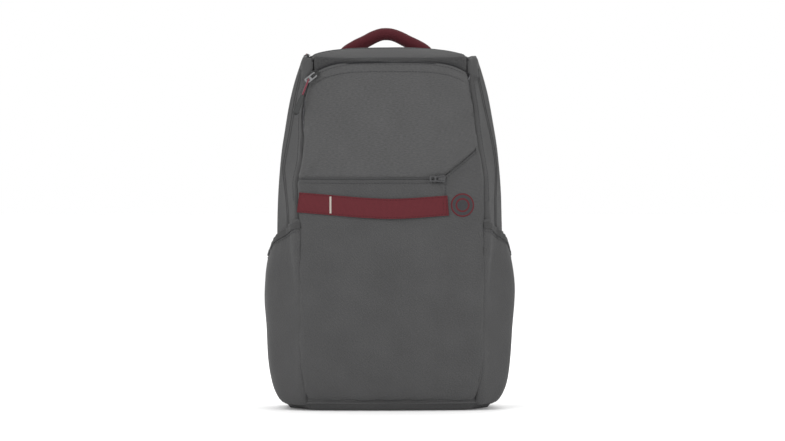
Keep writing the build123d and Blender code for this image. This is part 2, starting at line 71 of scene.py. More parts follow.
# ---- driving sizes, in metres
PANEL_THICK = 0.0022
TUCK = 0.0006  # each panel stops this far from a seam's middle
STITCH, STITCH_GAP, STITCH_LIFT, THREAD_RADIUS = 0.0026, 0.0012, 0.0002, 0.00032
COIL_PITCH = 0.0021  # from tooth to tooth
BASE_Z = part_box("bottom_panel")[1].z
MOUTH_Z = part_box("front_zip_tape")[0].z + 0.003
LID_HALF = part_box("main_zip")[1].x
LID_BACK_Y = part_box("lid_panel")[1].y
ZIP_CORNER_Z, ZIP_CROWN_Z = 0.420, 0.438
BACK_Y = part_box("back_panel")[1].y
SIDE_SEAM_X = LID_HALF - 0.0035
BACK_SEAM_Y = BACK_Y - 0.002
SWEEP_X, SWEEP_SLOPE = 0.061, 0.86
BACK_STITCH_X = 0.121
CROWN_LIFT = 0.0006  # the lid's filling stands it a little over its cut shape
POCKET_FRONT_Z, POCKET_BACK_Z = 0.250, 0.204
SPINE_Y, BASE_Y = 0.012, 0.01  # the middle of the bag and of its base
IN_FRONT, BEHIND, OVERHEAD = -0.3, 0.3, 0.6  # where rays on to the bag start
WEBBING, THIN_WEBBING = 0.025, 0.0016  # the harness webbing's width, and the chest strap's thickness
# Each slider's middle on the bag, the way its puller lies, and the way out from the bag
CORNER_SLIDER = ((-0.0951230, -0.0449022, 0.4214104), (-0.78, 0, -0.62), (0, -1, 0))
PIVOT = 0.0036  # height of a puller's bar above the bag
SIDE_SLIDER = ((-0.1018, -0.009, 0.4406), (0, 1, 0), (-0.406737, 0, 0.913545))


# ---- materials
class Shader:
    """Short calls for a node material."""

    def __init__(self, name):
        self.material = bpy.data.materials.new(name)
        self.material.use_nodes = True
        self.tree = self.material.node_tree
        self.surface = self.tree.nodes["Principled BSDF"]

    def add(self, kind, **settings):
        node = self.tree.nodes.new(kind)
        for key, value in settings.items():
            setattr(node, key, value)
        return node

    def link(self, source, target):
        self.tree.links.new(source, target)

    def texture(self, kind, scale, use_uv, inputs, **settings):
        """A texture over UV or object coordinates, in metres, scaled alike or along each direction."""
        node = self.add(kind, **settings)
        for key, value in {"Scale": 1.0, **inputs}.items():
            node.inputs[key].default_value = value
        source = self.add("ShaderNodeTexCoord").outputs["UV" if use_uv else "Object"]
        mapping = self.add("ShaderNodeMapping")
        mapping.inputs["Scale"].default_value = scale if isinstance(scale, tuple) else (scale,) * 3
        self.link(source, mapping.inputs["Vector"])
        self.link(mapping.outputs["Vector"], node.inputs["Vector"])
        return node

    def noise(self, scale, detail=3.0, roughness=0.6, use_uv=True):
        inputs = {"Detail": detail, "Roughness": roughness}
        return self.texture("ShaderNodeTexNoise", scale, use_uv, inputs).outputs["Fac"]

    def wave(self, scale, direction, distortion, use_uv=True):
        inputs = {"Distortion": distortion}
        return self.texture("ShaderNodeTexWave", scale, use_uv, inputs, bands_direction=direction).outputs["Fac"]

    def math(self, operation, first, second):
        node = self.add("ShaderNodeMath", operation=operation)
        for socket, value in zip(node.inputs, (first, second)):
            if isinstance(value, (int, float)):
                socket.default_value = value
            else:
                self.link(value, socket)
        return node.outputs[0]

    def ramp(self, factor, stops):
        node = self.add("ShaderNodeValToRGB")
        while len(node.color_ramp.elements) < len(stops):
            node.color_ramp.elements.new(0.5)
        for element, (position, colour) in zip(node.color_ramp.elements, stops):
            element.position = position
            element.color = (*colour, 1)
        self.link(factor, node.inputs["Fac"])
        return node.outputs["Color"]

    def finish(self, colour, height, strength, distance, roughness, sheen=0.0, metallic=0.0):
        self.link(colour, self.surface.inputs["Base Color"])
        bump = self.add("ShaderNodeBump")
        bump.inputs["Strength"].default_value = strength
        bump.inputs["Distance"].default_value = distance
        self.link(height, bump.inputs["Height"])
        self.link(bump.outputs["Normal"], self.surface.inputs["Normal"])
        values = {"Roughness": roughness, "Metallic": metallic, "Sheen Weight": sheen, "Sheen Roughness": 0.6}
        for key, value in {**values, "Specular IOR Level": 0.5 if metallic else 0.25}.items():
            self.surface.inputs[key].default_value = value
        return self.material


WAVE_UNIT = 0.314  # a wave texture's period at scale 1


def shade(colour, factor):
    return tuple(min(1.0, channel * factor) for channel in colour)


def heather(name, colour, streak, contrast, weave, diagonal=False):
    """Melange fabric: yarns of two greys, long or short streaks, over a fine weave."""
    s = Shader(name)
    yarn = s.noise((streak[0], streak[1], streak[1]), 4.0, 0.7)
    fleck = s.noise(streak[1] * 1.4, 2.0, 0.8)
    mixed = s.math("ADD", s.math("MULTIPLY", yarn, 0.62), s.math("MULTIPLY", fleck, 0.38))
    cloud = s.noise(22, 2.0, 0.5)
    mixed = s.math("ADD", mixed, s.math("MULTIPLY", s.math("SUBTRACT", cloud, 0.5), 0.12))
    stops = [(0.36, shade(colour, 1 - contrast)), (0.50, colour), (0.64, shade(colour, 1 + contrast * 1.25))]
    scale = WAVE_UNIT / weave
    if diagonal:
        across, up = s.wave(scale, "DIAGONAL", 0.6), s.wave(scale * 2, "Y", 0.4)
    else:
        across, up = s.wave(scale, "X", 0.5), s.wave(scale, "Y", 0.5)
    height = s.math("ADD", s.math("MULTIPLY", across, up), s.math("MULTIPLY", mixed, 0.9))
    return s.finish(s.ramp(mixed, stops), height, 0.55, 0.0004, 0.92, 0.04)


def webbing_cloth(name, colour, rib=0.0016, contrast=0.25):
    """Woven webbing: ribs across; the colour follows the relief, lighter on their crowns and darker between them:
    painted highlight and shade.
    """
    s = Shader(name)
    scale = WAVE_UNIT / rib
    ribs, cords = s.wave(scale, "X", 0.35), s.wave(scale * 1.3, "Y", 0.35)
    fuzz = s.noise(1500, 2.0, 0.7)
    mixed = s.math("ADD", s.math("MULTIPLY", s.math("MULTIPLY", ribs, cords), 0.5), s.math("MULTIPLY", fuzz, 0.5))
    # painted shade in the hollows and painted highlight on the crowns, from the same value as the bump
    stops = [(0.2, shade(colour, 1 - contrast)), (0.45, colour), (0.75, shade(colour, 1 + contrast))]
    return s.finish(s.ramp(mixed, stops), mixed, 0.7, 0.0005, 0.85, 0.03)


def spacer_mesh(name, colour):
    """Open spacer mesh over foam: rows of small holes."""
    s = Shader(name)
    holes = s.texture("ShaderNodeTexVoronoi", 420, False, {"Randomness": 0.25}, feature="F1").outputs["Distance"]
    stops = [(0.25, shade(colour, 0.25)), (0.45, colour), (0.8, shade(colour, 1.5))]
    return s.finish(s.ramp(holes, stops), holes, 0.8, 0.001, 0.9, 0.1)


def plated(name, colour, roughness):
    """Plated die-cast metal with light handling marks."""
    s = Shader(name)
    marks = s.noise((900, 300, 900), 4.0, 0.7, False)
    stops = [(0.3, shade(colour, 0.75)), (0.5, colour), (0.7, shade(colour, 1.2))]
    return s.finish(s.ramp(marks, stops), marks, 0.12, 0.0002, roughness, 0.0, 1.0)


def moulded(name, colour, roughness=0.42):
    """Moulded plastic with a fine spark-eroded grain."""
    s = Shader(name)
    grain = s.noise(2600, 2.0, 0.6, False)
    stops = [(0.3, shade(colour, 0.8)), (0.7, shade(colour, 1.25))]
    return s.finish(s.ramp(grain, stops), grain, 0.25, 0.0002, roughness)


def braided(name, colour):
    """A small braided cord; the colour follows the braid's relief, darker in its grooves and lighter on its strands:
    painted shade and highlight.
    """
    s = Shader(name)
    braid = s.wave(500, "DIAGONAL", 1.0, False)
    # painted shade in the grooves and painted highlight on the strands, from the same wave as the bump
    stops = [(0.1, shade(colour, 0.5)), (0.6, colour), (0.9, shade(colour, 1.3))]
    return s.finish(s.ramp(braid, stops), braid, 0.6, 0.0005, 0.7, 0.2)


GREY_UPPER = (0.0665, 0.0665, 0.067)
GREY_LOWER = (0.056, 0.056, 0.0566)
GREY_SIDE = (0.054, 0.054, 0.0545)
# painted shade: the lid's grey is set darker than the sides' plain grey, to take back the light that falls on the top
GREY_LID_SHADED = (0.038, 0.038, 0.0384)
upper_cloth = heather("slub_upper", GREY_UPPER, (240, 1000), 0.24, 0.0011)
lower_cloth = heather("twill_lower", GREY_LOWER, (700, 950), 0.34, 0.0022, diagonal=True)
# painted shade: the lid and the yoke wear the plain weave of the sides in a darker grey
lid_cloth_shaded = heather("plain_lid_painted_shade", GREY_LID_SHADED, (420, 900), 0.3, 0.0011)
side_cloth = heather("plain_side", GREY_SIDE, (420, 900), 0.2, 0.0011)
base_cloth = heather("coated_base", shade(GREY_LOWER, 0.85), (500, 700), 0.2, 0.0009, diagonal=True)
lining_cloth = heather("lining", (0.16, 0.16, 0.17), (300, 900), 0.12, 0.0008)
dark_tape = webbing_cloth("black_tape", (0.016, 0.016, 0.018))
edge_tape = webbing_cloth("charcoal_tape", (0.040, 0.040, 0.043), 0.0012)
rim_tape = webbing_cloth("grey_tape", (0.047, 0.047, 0.0475), 0.0012)
maroon_tape = webbing_cloth("maroon_webbing", (0.098, 0.013, 0.018), 0.0015, 0.35)
maroon_wrap = webbing_cloth("maroon_wrap", (0.072, 0.008, 0.013), 0.0014, 0.2)
tack_thread = webbing_cloth("pale_thread", (0.42, 0.38, 0.34), 0.0009)
dark_thread = webbing_cloth("dark_thread", (0.05, 0.05, 0.053), 0.0009)
foam_mesh = spacer_mesh("spacer_mesh", (0.035, 0.035, 0.038))
gunmetal = plated("gunmetal", (0.24, 0.24, 0.245), 0.3)
rubber = moulded("grey_rubber", (0.036, 0.037, 0.037), 0.6)
# painted shade: the main sliders get a dark copy of the gunmetal, to show as shade under and through the lighter
# pullers
gunmetal_shaded = plated("gunmetal_painted_shade", (0.05, 0.05, 0.05), 0.35)
grey_metal = plated("grey_lacquer", (0.082, 0.082, 0.084), 0.45)
coil_grey = moulded("grey_coil", (0.062, 0.062, 0.064), 0.6)
acetal = moulded("black_acetal", (0.018, 0.018, 0.019))
board = moulded("board", (0.03, 0.03, 0.03), 0.6)
red_braid = braided("red_braid", (0.150, 0.011, 0.027))


# ---- the pack's surface, read from the frame
def tree_over(meshes):
    """One search tree over several meshes."""
    corners, faces = [], []
    for mesh in meshes:
        start = len(corners)
        corners += [vertex.co.copy() for vertex in mesh.vertices]
        faces += [[start + index for index in polygon.vertices] for polygon in mesh.polygons]
    return BVHTree.FromPolygons(corners, faces)


def tree_of(*nodes):
    return tree_over([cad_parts[name].data for name in nodes])


def ends(node):
    """A node's box: its low end, middle and high end along x, y and z."""
    return [(low, (low + high) / 2, high) for low, high in zip(*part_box(node))]


SKIN_NODES = (
    "front_panel_upper front_panel_lower side_gusset_left side_gusset_right bottom_panel back_panel "
    "yoke_panel lid_panel main_zip"
).split()
skin = tree_of(*SKIN_NODES)
JITTERS = [Vector((0, 0, 0)), Vector((0.0007, 0, 0.0007)), Vector((-0.0007, 0, -0.0007))]


def meet(tree, origin, direction, reach=0.5):
    """The first point that a ray meets, never slipping through a seam's gap."""
    unit = Vector(direction).normalized()
    hits = [tree.ray_cast(Vector(origin) + jitter, unit, reach) for jitter in JITTERS]
    hits = [(point - jitter - Vector(origin)).dot(unit) for (point, *_), jitter in zip(hits, JITTERS) if point]
    return Vector(origin) + unit * min(hits) if hits else None


def front_point(x, z):
    return meet(skin, (x, IN_FRONT, z), (0, 1, 0))


def back_point(x, z):
    return meet(skin, (x, BEHIND, z), (0, -1, 0))


def top_point(x, y):
    return meet(skin, (x, y, OVERHEAD), (0, 0, -1))


def toward_spine(point, spine):
    """The surface point on the line from a rough point to the pack's spine."""
    out = (point - spine).normalized()
    return meet(skin, point + out * 0.08, -out) or point


# How the front seams really run: (height, distance from the middle), left and right
SEAM_RUN = {
    -1: [
        (0.013, 0.104), (0.028, 0.112), (0.057, 0.117), (0.086, 0.1205), (0.152, 0.1205), (0.200, 0.1175),
        (0.233, 0.117), (0.262, 0.1185), (0.289, 0.119), (0.312, 0.1135), (0.340, 0.1115), (0.367, 0.111),
        (0.397, 0.1085), (0.417, 0.101),
    ],
    1: [
        (0.013, 0.103), (0.036, 0.1145), (0.059, 0.1175), (0.096, 0.118), (0.178, 0.1185), (0.217, 0.1165),
        (0.277, 0.117), (0.297, 0.116), (0.327, 0.111), (0.353, 0.107), (0.381, 0.1045), (0.397, 0.1015),
        (0.417, 0.0992),
    ],
}


def sewn_x(sign, z):
    """The front seam's distance from the middle on one side, eased between its stations."""
    low, high = z - 0.006, z + 0.006
    heights, reach = zip(*SEAM_RUN[sign])
    return sum(float(np.interp(h, heights, reach)) for h in (low, (low + z) / 2, z, (high + z) / 2, high)) / 5


def zip_z(x):
    """The main zip's height at a place across the front: flat over the middle, round at the corners."""
    return ZIP_CROWN_Z - (ZIP_CROWN_Z - ZIP_CORNER_Z) * (abs(x) / 0.1) ** 4.3


def mouth_z(x):
    """The front pocket's mouth, and the seam that sweeps up from it on the right."""
    rise = max(0.0, x - SWEEP_X + 0.004)
    return MOUTH_Z + SWEEP_SLOPE * (math.sqrt(rise * rise + 0.008**2) - 0.008)


def meeting_height():
    """Where the swept seam meets the right side seam."""
    z = 0.33
    for _ in range(30):
        z = (z + mouth_z(sewn_x(1, z))) / 2
    return z


def wobble(x, y, z=0.0):
    """Smooth noise from -1 to 1."""
    return noise.noise(Vector((x, y, z)))


def hump(distance, width):
    """A smooth rise, 1 at no distance and fading over a width."""
    return math.exp(-((distance / width) ** 2))


# ---- mesh helpers
def mesh_piece(name, corners, faces, materials, uv=None, indices=None, smooth=True):
    mesh = bpy.data.meshes.new(name)
    mesh.from_pydata([tuple(c) for c in corners], [], faces)
    for material in materials:
        mesh.materials.append(material)
    if uv is not None:
        layer = mesh.uv_layers.new(name="UVMap")
        loops = np.zeros(len(mesh.loops), dtype=np.int32)
        mesh.loops.foreach_get("vertex_index", loops)
        layer.data.foreach_set("uv", np.asarray(uv, dtype=np.float32)[loops].ravel())
    if indices is not None:
        mesh.polygons.foreach_set("material_index", np.asarray(indices, dtype=np.int32))
    mesh.polygons.foreach_set("use_smooth", np.full(len(mesh.polygons), smooth))
    mesh.update()
    return link(name, mesh)


def link(name, data):
    """A new object in the scene."""
    obj = bpy.data.objects.new(name, data)
    bpy.context.collection.objects.link(obj)
    return obj


def tiles(rows, columns, closed=True, start=0):
    """The faces of a grid of corners, row by row; a closed grid joins its last column to its first."""
    faces = []
    for low in range(start, start + (rows - 1) * columns, columns):
        high = low + columns
        for j in range(columns if closed else columns - 1):
            k = (j + 1) % columns
            faces.append([low + j, low + k, high + k, high + j])
    return faces


def capped(rows, columns):
    """The faces of a tube of corners, with both its ends."""
    last = range((rows - 1) * columns, rows * columns)
    return tiles(rows, columns) + [list(range(columns)), list(reversed(last))]


def plot(rows, columns, place):
    """A grid of points from a function of row and column."""
    points = np.zeros((rows, columns, 3))
    for i in range(rows):
        for j in range(columns):
            points[i, j] = place(i, j)
    return points


def cells(points):
    """Each place of a grid: its row, its column and its x, y and z."""
    for i, row in enumerate(points):
        for j, (x, y, z) in enumerate(row):
            yield i, j, x, y, z


def grid_normals(points, outward):
    """Unit normals of a grid of points, on the side of the outward hint."""
    along = np.gradient(points, axis=0)
    across = np.gradient(points, axis=1)
    normals = np.cross(along, across)
    normals /= np.maximum(np.linalg.norm(normals, axis=2, keepdims=True), 1e-9)
    flip = np.sign((normals * outward).sum(axis=2, keepdims=True))
    flip[flip == 0] = 1
    return normals * flip


def smooth_grid(points, rounds=2):
    """Evens out a grid inside its border."""
    for _ in range(rounds):
        inner = points[1:-1, 1:-1]
        around = points[:-2, 1:-1] + points[2:, 1:-1] + points[1:-1, :-2] + points[1:-1, 2:]
        points[1:-1, 1:-1] = inner * 0.5 + around * 0.125
    return points


def shell(name, points, outward, size, outer, inner=lining_cloth, thickness=PANEL_THICK, relief=None, closed=False):
    """A sheet of fabric with a thickness, from a grid of points on its outer face."""
    rows, columns = points.shape[:2]
    normals = grid_normals(points, outward)
    if relief is not None:
        points = points + normals * relief[:, :, None]
    back = points - normals * thickness
    corners = np.concatenate([points.reshape(-1, 3), back.reshape(-1, 3)])
    count = rows * columns
    s, t = np.meshgrid(np.linspace(0, size[0], columns), np.linspace(0, size[1], rows))
    uv = np.tile(np.stack([s.ravel(), t.ravel()], axis=1), (2, 1))
    faces, indices = [], []
    for quad in tiles(rows, columns, closed):
        faces += [quad, [count + index for index in reversed(quad)]]
        indices += [0, 1]
    sides = () if closed else (0, columns - 1)
    rim = [(i * columns + j, (i + 1) * columns + j) for j in sides for i in range(rows - 1)]
    top = (rows - 1) * columns
    for j in range(columns if closed else columns - 1):
        k = (j + 1) % columns
        rim += [(j, k), (top + j, top + k)]
    faces += [[a, b, count + b, count + a] for a, b in rim]
    indices += [0] * len(rim)
    piece = mesh_piece(name, corners, faces, [outer, inner], uv, indices)
    tidy = bmesh.new()
    tidy.from_mesh(piece.data)
    bmesh.ops.recalc_face_normals(tidy, faces=tidy.faces)
    tidy.to_mesh(piece.data)
    tidy.free()
    return piece


def sewn_relief(rows, columns, size, seed, sides=(1, 1, 1, 1), fold=0.0010, pucker=0.0009):
    """Soft fabric relief: grooves at the sewn sides (bottom, top, left, right) and slow folds over the rest."""
    relief = np.zeros((rows, columns))
    for i in range(rows):
        for j in range(columns):
            s, t = j / (columns - 1), i / (rows - 1)
            u, v = s * size[0], t * size[1]
            relief[i, j] = fold * wobble(u * 11, v * 8, seed) + fold * 0.5 * wobble(u * 30, v * 22, seed + 7)
            for side, d in enumerate((v, (1 - t) * size[1], u, (1 - s) * size[0])):
                if sides[side]:
                    along = u if side < 2 else v
                    relief[i, j] -= 0.0020 * hump(d, 0.0030)
                    relief[i, j] += 0.0008 * (d / 0.008) * math.exp(1 - d / 0.008)
                    relief[i, j] += pucker * math.exp(-d / 0.012) * wobble(along * 70, seed * 3.1 + side, d * 25)
    return relief


def blend_edges(bottom, top, left, right, rows, columns):
    """Coons patch between four edge curves, each a function of 0 to 1."""
    c00, c10, c01, c11 = (np.array(p) for p in (bottom(0), bottom(1), top(0), top(1)))

    def place(i, j):
        s, t = j / (columns - 1), i / (rows - 1)
        ruled = (1 - t) * np.array(bottom(s)) + t * np.array(top(s))
        ruled += (1 - s) * np.array(left(t)) + s * np.array(right(t))
        return ruled - ((1 - s) * (1 - t) * c00 + s * (1 - t) * c10 + (1 - s) * t * c01 + s * t * c11)

    return plot(rows, columns, place)


def heading(route, index):
    """The way a route runs at one of its points."""
    return (route[min(index + 1, len(route) - 1)] - route[max(index - 1, 0)]).normalized()


def ribbon(name, route, normals, width, thickness, material, segments=6):
    """Flat webbing with rounded edges along a route; the width lies across the route in the surface."""
    route = [Vector(p) for p in route]
    flat, round_by = width / 2 - thickness / 2, thickness / 2
    turns = [math.pi * k / segments - math.pi / 2 for k in range(segments + 1)]
    ring = [(flat + round_by * math.cos(turn), round_by * math.sin(turn)) for turn in turns]
    ring += [(-x, -y) for x, y in ring]
    corners, uv, distance = [], [], 0.0
    for index, point in enumerate(route):
        tangent = heading(route, index)
        side = tangent.cross(Vector(normals[index]).normalized()).normalized()
        normal = side.cross(tangent).normalized()
        if index:
            distance += (point - route[index - 1]).length
        corners += [point + side * x + normal * y for x, y in ring]
        uv += [(distance, x) for x, y in ring]
    return mesh_piece(name, corners, capped(len(route), len(ring)), [material], uv)


def tube(name, route, radius, material):
    """A round cord sewn to the pack, such as piping."""
    upright = abs((route[1] - route[0]).normalized().z) >= 0.8
    normals = [Vector((0, 1, 0)) if upright else Vector((0, 0, 1))] * len(route)
    return ribbon(name, route, normals, radius * 2, radius * 2 - 1e-5, material, 4)


def smooth_route(points, step=0.004):
    """A Catmull-Rom line through a few points, cut into even steps."""
    pts = [Vector(p) for p in points]
    ends = [pts[0] * 2 - pts[1], *pts, pts[-1] * 2 - pts[-2]]
    line = []
    for a, b, c, d in zip(ends, ends[1:], ends[2:], ends[3:]):
        cuts = max(2, int((c - b).length / step))
        for k in range(cuts):
            t = k / cuts
            line.append(
                0.5 * ((2 * b) + (c - a) * t + (2 * a - 5 * b + 4 * c - d) * t * t + (3 * b - a - 3 * c + d) * t**3)
            )
    return line + [pts[-1]]


def measured(route, normals):
    """A route's length, and a function that gives its place (0) or normal (1) at a distance."""
    route = [Vector(p) for p in route]
    lengths = np.concatenate([[0], np.cumsum([(b - a).length for a, b in zip(route, route[1:])])])
    tables = [np.array([list(Vector(value)) for value in values]) for values in (route, normals)]

    def at(where, which=0):
        return Vector([float(np.interp(where, lengths, tables[which][:, axis])) for axis in range(3)])

    return lengths[-1], at


def stitches(name, route, normals, material):
    """A row of thread stitches along a route, each a small raised capsule."""
    whole, at = measured(route, normals)
    corners, faces = [], []
    position = STITCH_GAP
    while position + STITCH < whole:
        start, end = at(position), at(position + STITCH)
        normal = at(position + STITCH / 2, 1).normalized()
        side = (end - start).cross(normal).normalized()
        faces += tiles(4, 5, start=len(corners))
        for share, size in ((0, 0.35), (0.2, 1.0), (0.8, 1.0), (1, 0.35)):
            centre = start.lerp(end, share) + normal * (STITCH_LIFT if 0 < share < 1 else 0)
            for k in range(5):
                angle = 2 * math.pi * k / 5
                corners.append(centre + (side * math.cos(angle) + normal * math.sin(angle)) * THREAD_RADIUS * size)
        position += STITCH + STITCH_GAP
    return mesh_piece(name, corners, faces, [material])


def settle(piece, body, slot, *nodes):
    """Rides a piece on its body and hides what it stands for; the slot that it is given is not used."""
    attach(piece, body)
    if nodes:
        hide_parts(*nodes)
    return piece


def sew(name, line, facing, thread=dark_thread, slot="black_webbing", body="body"):
    settle(stitches(name, line, facing, thread), body, slot)


def outward_from(points, centre):
    away = points - np.array(centre)
    return away / np.maximum(np.linalg.norm(away, axis=2, keepdims=True), 1e-9)


# ---- front panels


def front_grid(bottom, top, left, right, rows, columns):
    """A panel on the front, from its outline in x and z."""
    flat = blend_edges(bottom, top, left, right, rows, columns)

    def place(i, j):
        x, _, z = flat[i, j]
        return front_point(x, z) or (x, -0.04, z)

    points = plot(rows, columns, place)
    around = np.pad(points[:, :, 1], 2, mode="edge")
    windows = np.lib.stride_tricks.sliding_window_view(around, (5, 5)).reshape(rows, columns, 25)
    level = np.median(windows, axis=2)
    slipped = points[:, :, 1] > level + 0.0012  # a place that fell into a seam's gap
    points[:, :, 1] = np.where(slipped, level, points[:, :, 1])
    return smooth_grid(points)


def seam_side(sign, low, high):
    """One side of a front panel: along the sewn seam, from one height to another."""

    def along(t):
        z = low + (high - low) * t
        return (sign * (sewn_x(sign, z) - TUCK), 0, z)

    return along


def seam_across(left, right, end, height):
    """The edge between two sides' lower (0) or upper (1) ends, at a height that goes with x and share."""

    def along(s):
        x = (1 - s) * left(end)[0] + s * right(end)[0]
        return (x, 0, height(x, s))

    return along


def make_lower_front():
    rows, columns = 110, 96
    low_z = BASE_Z + 0.0002
    left, right = seam_side(-1, low_z, MOUTH_Z - 0.0003), seam_side(1, low_z, meeting_height() - 0.0003)
    top = seam_across(left, right, 1, lambda x, s: mouth_z(x) - 0.0003)
    bottom = seam_across(left, right, 0, lambda x, s: low_z)
    points = front_grid(bottom, top, left, right, rows, columns)
    size = (0.232, 0.285)
    relief = sewn_relief(rows, columns, size, 3.0, (1, 1, 1, 1), 0.0008, 0.0014)
    for i, j, x, _, z in cells(points):
        across = min(abs(x + sewn_x(-1, z)), abs(sewn_x(1, z) - x))
        relief[i, j] += 0.0016 * hump(across - 0.012, 0.010) * wobble(x * 12, z * 34, 2.0)
        relief[i, j] += 0.0008 * wobble(x * 9, z * 14, 5.0)
    piece = shell("front_lower", points, np.array([0, -1, 0]), size, lower_cloth, relief=relief)
    return settle(piece, "body", "twill_fabric", "front_panel_lower")


def make_upper_front():
    rows, columns = 64, 96

    def side(sign, low):
        return seam_side(sign, low, zip_z(sewn_x(sign, ZIP_CORNER_Z - 0.003) - TUCK) - 0.0006)

    left, right = side(-1, MOUTH_Z - 0.0002), side(1, meeting_height() + 0.0003)
    bottom = seam_across(left, right, 0, lambda x, s: mouth_z(x) + 0.0003 - 0.0005 * (1 - s))
    top = seam_across(left, right, 1, lambda x, s: zip_z(x) - 0.0006)
    points = front_grid(bottom, top, left, right, rows, columns)
    size = (0.224, 0.140)
    relief = sewn_relief(rows, columns, size, 9.0, (1, 0, 1, 1), 0.0008, 0.0012)
    for i, j, x, _, z in cells(points):
        below_zip = zip_z(max(-0.1, min(0.1, x))) - z
        relief[i, j] -= 0.0013 * hump(below_zip - 0.0135, 0.0012)  # facing seam under the zip
        relief[i, j] += 0.0009 * hump(z - MOUTH_Z - 0.004, 0.004)  # folded edge over the mouth
        dent = (x + 0.100) * 0.75 - (z - 0.300) * 0.66
        relief[i, j] -= 0.0022 * hump(dent, 0.004) * hump(x + 0.101, 0.012)
        relief[i, j] += 0.0009 * wobble(x * 10, z * 16, 7.0)
    piece = shell("front_upper", points, np.array([0, -1, 0]), size, upper_cloth, relief=relief)
    return settle(piece, "body", "slub_fabric", "front_panel_upper")


lower_front = make_lower_front()
upper_front = make_upper_front()


# ---- gussets, base, back and top


def make_gusset(side_name, sign):
    """A side of the bag from its front seam to its back seam, with two lines of piping."""
    rows, columns = 110, 56

    def front(t):
        z = BASE_Z + 0.001 + (ZIP_CORNER_Z - 0.003 - BASE_Z) * t
        x = sign * (sewn_x(sign, z) + TUCK)
        return front_point(x, z) or (x, -0.06, z)

    def back(t):
        z = BASE_Z + 0.001 + (0.4395 - BASE_Z) * t
        return meet(skin, (sign * BEHIND, BACK_SEAM_Y - 0.001, z), (-sign, 0, 0)) or (sign * 0.10, BACK_SEAM_Y, z)

    over = [top_point(sign * SIDE_SEAM_X, y) for y in np.linspace(-0.033, BACK_SEAM_Y - 0.004, 24)]
    crest = [Vector(front(1)), *over, Vector(back(1))]

    def low(s):
        bulge = Vector((sign * 0.035 * math.sin(math.pi * s) ** 0.8, 0, 0))
        return toward_spine(Vector(front(0)).lerp(Vector(back(0)), s) + bulge, Vector((0, SPINE_Y, BASE_Z + 0.001)))

    def high(s):
        where = s * (len(crest) - 1)
        k = min(int(where), len(crest) - 2)
        return crest[k].lerp(crest[k + 1], where - k)

    points = blend_edges(low, high, front, back, rows, columns)
    for i in range(1, rows - 1):
        for j in range(1, columns - 1):
            p = Vector(points[i, j])
            points[i, j] = toward_spine(p, Vector((0, SPINE_Y, min(max(p.z, 0.03), 0.350))))
    points = smooth_grid(points, 3)
    size = (0.170, 0.420)
    relief = sewn_relief(rows, columns, size, 15.0 + sign * 4, (1, 1, 1, 1), 0.0009, 0.0015)
    for i, j, x, y, z in cells(points):
        s = j / (columns - 1)
        if z > 0.415:  # the ear beside the lid
            relief[i, j] += 0.0048 * hump(abs(x) - 0.1055, 0.0042) * math.exp(-(((y + 0.012) / 0.030) ** 4))
        relief[i, j] += 0.0022 * wobble(y * 16, z * 9, sign * 3.0) * math.sin(math.pi * s)
        relief[i, j] += 0.0014 * wobble(y * 30, z * 24, sign * 8.0) * hump(s - 0.1, 0.14)
    outward = outward_from(points, (0, 0, 0.2))
    piece = shell(f"gusset_{side_name}", points, outward, size, side_cloth, relief=relief)
    settle(piece, "body", "shell_fabric", f"side_gusset_{side_name}")
    face = points + grid_normals(points, outward) * relief[:, :, None]
    for number, apart in enumerate((0.0, 0.038)):
        route = []
        for i in range(rows):
            z = points[i, columns // 4, 2]
            if 0.185 < z < 0.428:
                spread = 0.035 if z < 0.305 else 0.075
                where = (0.185 + 0.13 * hump(z - 0.305, spread) + apart) * (columns - 1)
                k = int(where)
                route.append(Vector(face[i, k] + (face[i, k + 1] - face[i, k]) * (where - k)))
        settle(tube(f"piping_{side_name}_{number}", route, 0.0011, side_cloth), "body", "shell_fabric")
    return piece


gussets = [make_gusset("left", -1), make_gusset("right", 1)]


def make_base():
    """The base: a wall of nine rows under the seam, then the floor drawn in to the middle."""
    rows, columns = 26, 120

    def place(i, j):
        angle = 2 * math.pi * j / columns
        out = Vector((math.cos(angle), math.sin(angle), 0))
        z = BASE_Z - (BASE_Z - 0.0012) * min(i, 8) / 8
        p = meet(skin, Vector((0, BASE_Y, max(z, 0.002))) + out * 0.25, -out)
        if i < 9:
            return (p.x, p.y, z)
        share = (1 - (i - 8) / (rows - 9)) * 0.985
        return (p.x * share, BASE_Y + (p.y - BASE_Y) * share, 0.0004)

    points = plot(rows, columns, place)
    outward = outward_from(points, (0, BASE_Y, 0.03))
    piece = shell("base", points, outward, (0.8, 0.12), base_cloth, lining_cloth, 0.002, None, True)
    settle(piece, "body", "base_fabric", "bottom_panel")


make_base()


def make_back():
    rows, columns = 70, 60
    heights = [BASE_Z + 0.001 + (0.4275 - BASE_Z) * i / (rows - 1) for i in range(rows)]
    edges = [abs(meet(skin, (BEHIND, BACK_SEAM_Y, z), (-1, 0, 0)).x) - 0.001 for z in heights]

    def place(i, j):
        x = edges[i] * (2 * j / (columns - 1) - 1)
        return back_point(x, heights[i]) or (x, BACK_Y, heights[i])

    size = (0.26, 0.415)
    relief = sewn_relief(rows, columns, size, 31.0, (1, 0, 1, 1), 0.0004, 0.0005)
    points = plot(rows, columns, place)
    piece = shell("back", points, np.array([0, 1, 0]), size, side_cloth, relief=relief)
    return settle(piece, "body", "shell_fabric", "back_panel")


back = make_back()


